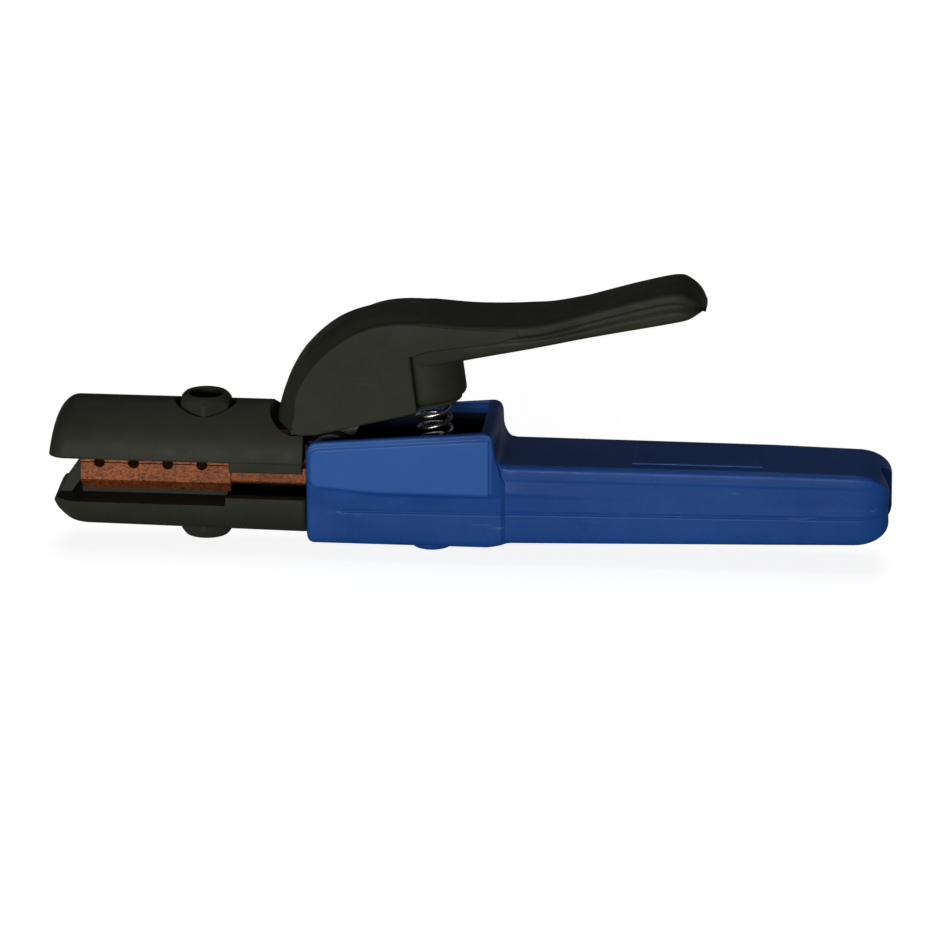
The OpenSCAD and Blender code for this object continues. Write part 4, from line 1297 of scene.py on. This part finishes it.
@dataclass
class ScrewHeads:
    """The insulated six-sided heads of the jaw screws."""

    flats: float = 14.0
    recess: tuple[float, float] = (4.8, 3.2)

    def head(self, seat: float, top: float, bevel: float) -> Array:
        """Rings of one head, seen with its top up.

        At each level the radius round the axis is the smaller of a hexagon with soft corners
        and the cone that bevels the head. The hexagon's radius is half its width over the
        cosine of the angle off the nearest flat.

        Args:
            seat: the height of its underside.
            top: the height of its top.
            bevel: the height of the conical bevel.

        Returns:
            Rings, as levels x points x 3.
        """
        angle = np.linspace(0, 2 * math.pi, 181)[:-1]
        off = (angle + math.pi / 6) % (math.pi / 3) - math.pi / 6
        hexagon = np.minimum(self.flats / 2 / np.cos(off), self.flats / 2 / math.cos(math.pi / 6) * 0.965)
        z = [seat, seat + 0.25, top - bevel, top - bevel * 0.8, top - bevel * 0.6, top - bevel * 0.4,
             top - bevel * 0.2, top - 0.12, top]
        rings = [hexagon - 0.3]
        rings += [np.minimum(hexagon, cone) for cone in (9.0, 8.05, 7.75, 7.4, 7.0, 6.6, 6.15, 5.8)]
        r, depth = self.recess
        for radius, height in ((r + 0.45, top), (r + 0.1, top - 0.2), (r, top - 0.6),
                               (r - 0.15, top - depth + 0.5), (r - 0.6, top - depth),
                               (0.05, top - depth - 0.15)):
            rings.append(np.full_like(angle, radius))
            z.append(height)
        radii = np.array(rings)
        return np.stack([radii * np.cos(angle), radii * np.sin(angle),
                         np.broadcast_to(np.array(z)[:, None], radii.shape)], axis=2)

    def build(self, wardrobe: Wardrobe) -> list[bpy.types.Object]:
        """Makes both heads."""
        made = []
        for name, node, body, seat, top, bevel, side in (
                ("upper_head", "upper_screw_head", Body.LEVER, 10.7, 19.6, 2.6, 1),
                ("lower_head", "lower_screw_head", Body.HANDLE, 12.2, 22.5, 3.0, -1)):
            flip = np.array([1, 1, side])
            piece = skin(name, self.head(seat, top, bevel) * flip + np.array([SCREW_X, 0, 0]))
            flange = [[5.0, side * (seat - 0.5)], [5.0, side * (seat + 1.9)]]
            work_in(piece, [turned("flange_cutter", flange, 48, SCREW_X)], Joining.CUT)
            soften(piece, 24)
            made.append(wardrobe.finish(piece, Slot.BLACK, body, node))
        return made


# ------------------------------------------------------------------ conductor and spring


@dataclass
class Conductor:
    """The cast copper parts: the lower jaw with its bar, and the upper jaw with its arm."""

    rounding: float = 0.45

    def build(self, wardrobe: Wardrobe) -> list[bpy.types.Object]:
        """Makes both castings from merged copies of their nodes, with cast-round edges."""
        made = []
        for node, name, body in (("body_casting", "lower_casting", Body.HANDLE),
                                 ("upper_arm", "upper_casting", Body.LEVER)):
            piece = round_edges(node_copy(node, name), self.rounding, 30, 2, 1e-6)
            made.append(wardrobe.finish(piece, Slot.COPPER, body, node))
        return made


@dataclass
class Spring:
    """The compression spring between the casting's seat and the lever's boss."""

    outer: float = 10.6
    wire: float = 1.5
    turns: int = 8
    length: float = 25.0

    def build(self, wardrobe: Wardrobe, lever: Lever) -> list[bpy.types.Object]:
        """Makes the coil.

        The wire's middle is a helix whose first and last turns are closed, and the wire's own
        circle is carried along it.

        Args:
            wardrobe: the finishes.
            lever: the lever, whose boss the spring leans into.

        Returns:
            The pieces.
        """
        r = (self.outer - self.wire) / 2
        t = np.linspace(0, self.turns, self.turns * 36 + 1)
        span = self.length - self.wire - 0.1
        body = self.wire + (span - 2 * self.wire) * (t - 1) / (self.turns - 2)
        z = np.where(t < 1, self.wire * t, np.where(t > self.turns - 1, span - self.wire * (self.turns - t), body))
        z = z + self.wire / 2 + 0.05
        a = 2 * math.pi * t
        b = np.arange(14) * 2 * math.pi / 14
        wire = self.wire / 2 * np.minimum(1, np.minimum(t, self.turns - t) * 30 + 0.55)
        reach = r + wire[:, None] * np.cos(b)
        rings = np.stack([reach * np.cos(a)[:, None], reach * np.sin(a)[:, None],
                          z[:, None] + wire[:, None] * np.sin(b)], axis=2)
        coil = soften(skin("coil", lever.on_axis(rings)), 50)
        wardrobe.dress(coil, Slot.SPRING)
        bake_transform(coil)
        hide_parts("lever_spring")
        return [coil]


# ------------------------------------------------------------------ studio


@dataclass
class Studio:
    """Camera, lights, floor and background."""

    target: tuple[float, float, float] = (0.1071, 0.0, -0.003)
    elevation: float = 18.5
    azimuth: float = 5.4
    distance: float = 3.0
    view_width: float = 0.27143
    key: float = 21.0
    under: float = 4.0
    top: float = 3.4
    back: float = 3.0

    def camera(self) -> None:
        """Sets the camera, which looks at the target from the front and a little above."""
        e, a = math.radians(self.elevation), math.radians(self.azimuth)
        look = Vector((-math.sin(a) * math.cos(e), math.cos(a) * math.cos(e), -math.sin(e)))
        data = bpy.data.cameras.new("camera")
        data.sensor_width = 36
        data.lens = 36 * self.distance / self.view_width
        data.clip_start, data.clip_end = 0.05, 60
        camera = bpy.data.objects.new("camera", data)
        camera.location = Vector(self.target) - look * self.distance
        camera.rotation_euler = look.to_track_quat("-Z", "Y").to_euler()
        bpy.context.scene.collection.objects.link(camera)
        bpy.context.scene.camera = camera

    def lamp(self, name: str, place: tuple[float, float, float], size: tuple[float, float],
             power: float) -> None:
        """A rectangular lamp that faces the target.

        Args:
            name: its name.
            place: where it stands.
            size: its width and height.
            power: its power in watts.
        """
        data = bpy.data.lights.new(name, "AREA")
        data.shape, data.size, data.size_y, data.energy = "RECTANGLE", *size, power
        lamp = bpy.data.objects.new(name, data)
        lamp.location = place
        lamp.rotation_euler = (Vector(self.target) - lamp.location).to_track_quat("-Z", "Y").to_euler()
        lamp.visible_camera = False
        bpy.context.scene.collection.objects.link(lamp)

    def cleared(self, owner: bpy.types.ID) -> tuple[bpy.types.Nodes, bpy.types.NodeLinks]:
        """The empty node tree of a material or a world, as its nodes and its links."""
        owner.use_nodes = True
        owner.node_tree.nodes.clear()
        return owner.node_tree.nodes, owner.node_tree.links

    def by_ray(self, nodes: bpy.types.Nodes, links: bpy.types.NodeLinks, other: bpy.types.Node,
               camera: bpy.types.Node, output: str) -> None:
        """Shows one shader to camera rays and another to the rest.

        Args:
            nodes: the tree's nodes.
            links: the tree's links.
            other: the shader for all other rays.
            camera: the shader for camera rays.
            output: the kind of the tree's output node.
        """
        mix, path = nodes.new("ShaderNodeMixShader"), nodes.new("ShaderNodeLightPath")
        links.new(path.outputs["Is Camera Ray"], mix.inputs[0])
        links.new(other.outputs[0], mix.inputs[1])
        links.new(camera.outputs[0], mix.inputs[2])
        links.new(mix.outputs[0], nodes.new(output).inputs[0])

    def floor(self, height: float) -> None:
        """A pale floor at a height in metres, white to the camera except for the shadow on it."""
        mesh = bpy.data.meshes.new("floor")
        s = 9.0
        mesh.from_pydata([(-s, -s, height), (s, -s, height), (s, s, height), (-s, s, height)], [],
                         [(0, 1, 2, 3)])
        floor = bpy.data.objects.new("floor", mesh)
        bpy.context.scene.collection.objects.link(floor)
        material = bpy.data.materials.new("pale_floor")
        nodes, links = self.cleared(material)
        plain, glow = nodes.new("ShaderNodeBsdfDiffuse"), nodes.new("ShaderNodeEmission")
        add = nodes.new("ShaderNodeAddShader")
        plain.inputs["Color"].default_value = (0.80, 0.80, 0.80, 1)
        glow.inputs["Strength"].default_value = 0.82
        links.new(plain.outputs[0], add.inputs[0])
        links.new(glow.outputs[0], add.inputs[1])
        self.by_ray(nodes, links, plain, add, "ShaderNodeOutputMaterial")
        mesh.materials.append(material)

    def world(self) -> None:
        """A background that is white to the camera, and to other rays pale low down and dark above."""
        world = bpy.data.worlds.new("studio")
        bpy.context.scene.world = world
        nodes, links = self.cleared(world)
        place, split = nodes.new("ShaderNodeTexCoord"), nodes.new("ShaderNodeSeparateXYZ")
        fall = nodes.new("ShaderNodeMapRange")
        fall.inputs[1].default_value, fall.inputs[2].default_value = -0.06, 0.22
        fall.inputs[3].default_value, fall.inputs[4].default_value = 0.42, 0.02
        links.new(place.outputs["Generated"], split.inputs[0])
        links.new(split.outputs[2], fall.inputs[0])
        dim, white = nodes.new("ShaderNodeBackground"), nodes.new("ShaderNodeBackground")
        links.new(fall.outputs[0], dim.inputs["Strength"])
        dim.inputs["Color"].default_value = (1, 1, 1, 1)
        white.inputs["Color"].default_value = (1, 1, 1, 1)
        white.inputs["Strength"].default_value = 1.0
        self.by_ray(nodes, links, dim, white, "ShaderNodeOutputWorld")

    def build(self) -> None:
        """Sets up the whole studio."""
        self.camera()
        self.lamp("key", (-0.25, -1.6, 0.16), (1.1, 0.36), self.key)
        self.lamp("low", (0.35, -1.3, 0.08), (1.4, 0.16), self.under)
        self.lamp("top", (0.1, 0.1, 1.6), (1.2, 1.2), self.top)
        self.lamp("back", (0.2, 1.1, 1.5), (1.0, 0.6), self.back)
        self.floor(CAD_BOX[0][2])
        self.world()
        bpy.context.scene.view_settings.view_transform = "Standard"


# ------------------------------------------------------------------ main


def main() -> None:
    """Builds the studio and every piece in order, and logs the imported nodes that stay visible."""
    logging.basicConfig(level=logging.INFO, format="%(name)s: %(message)s")
    Studio().build()
    wardrobe = Wardrobe()
    lever = Lever()
    made = Handle().build(wardrobe) + lever.build(wardrobe)
    made += UpperInsulator().build(wardrobe) + LowerInsulator().build(wardrobe)
    made += ScrewHeads().build(wardrobe) + Conductor().build(wardrobe) + Spring().build(wardrobe, lever)
    for name in wardrobe.dress_nodes():
        LOG.info("%s: packed node with its finish", name)


if __name__ == "__main__":
    main()
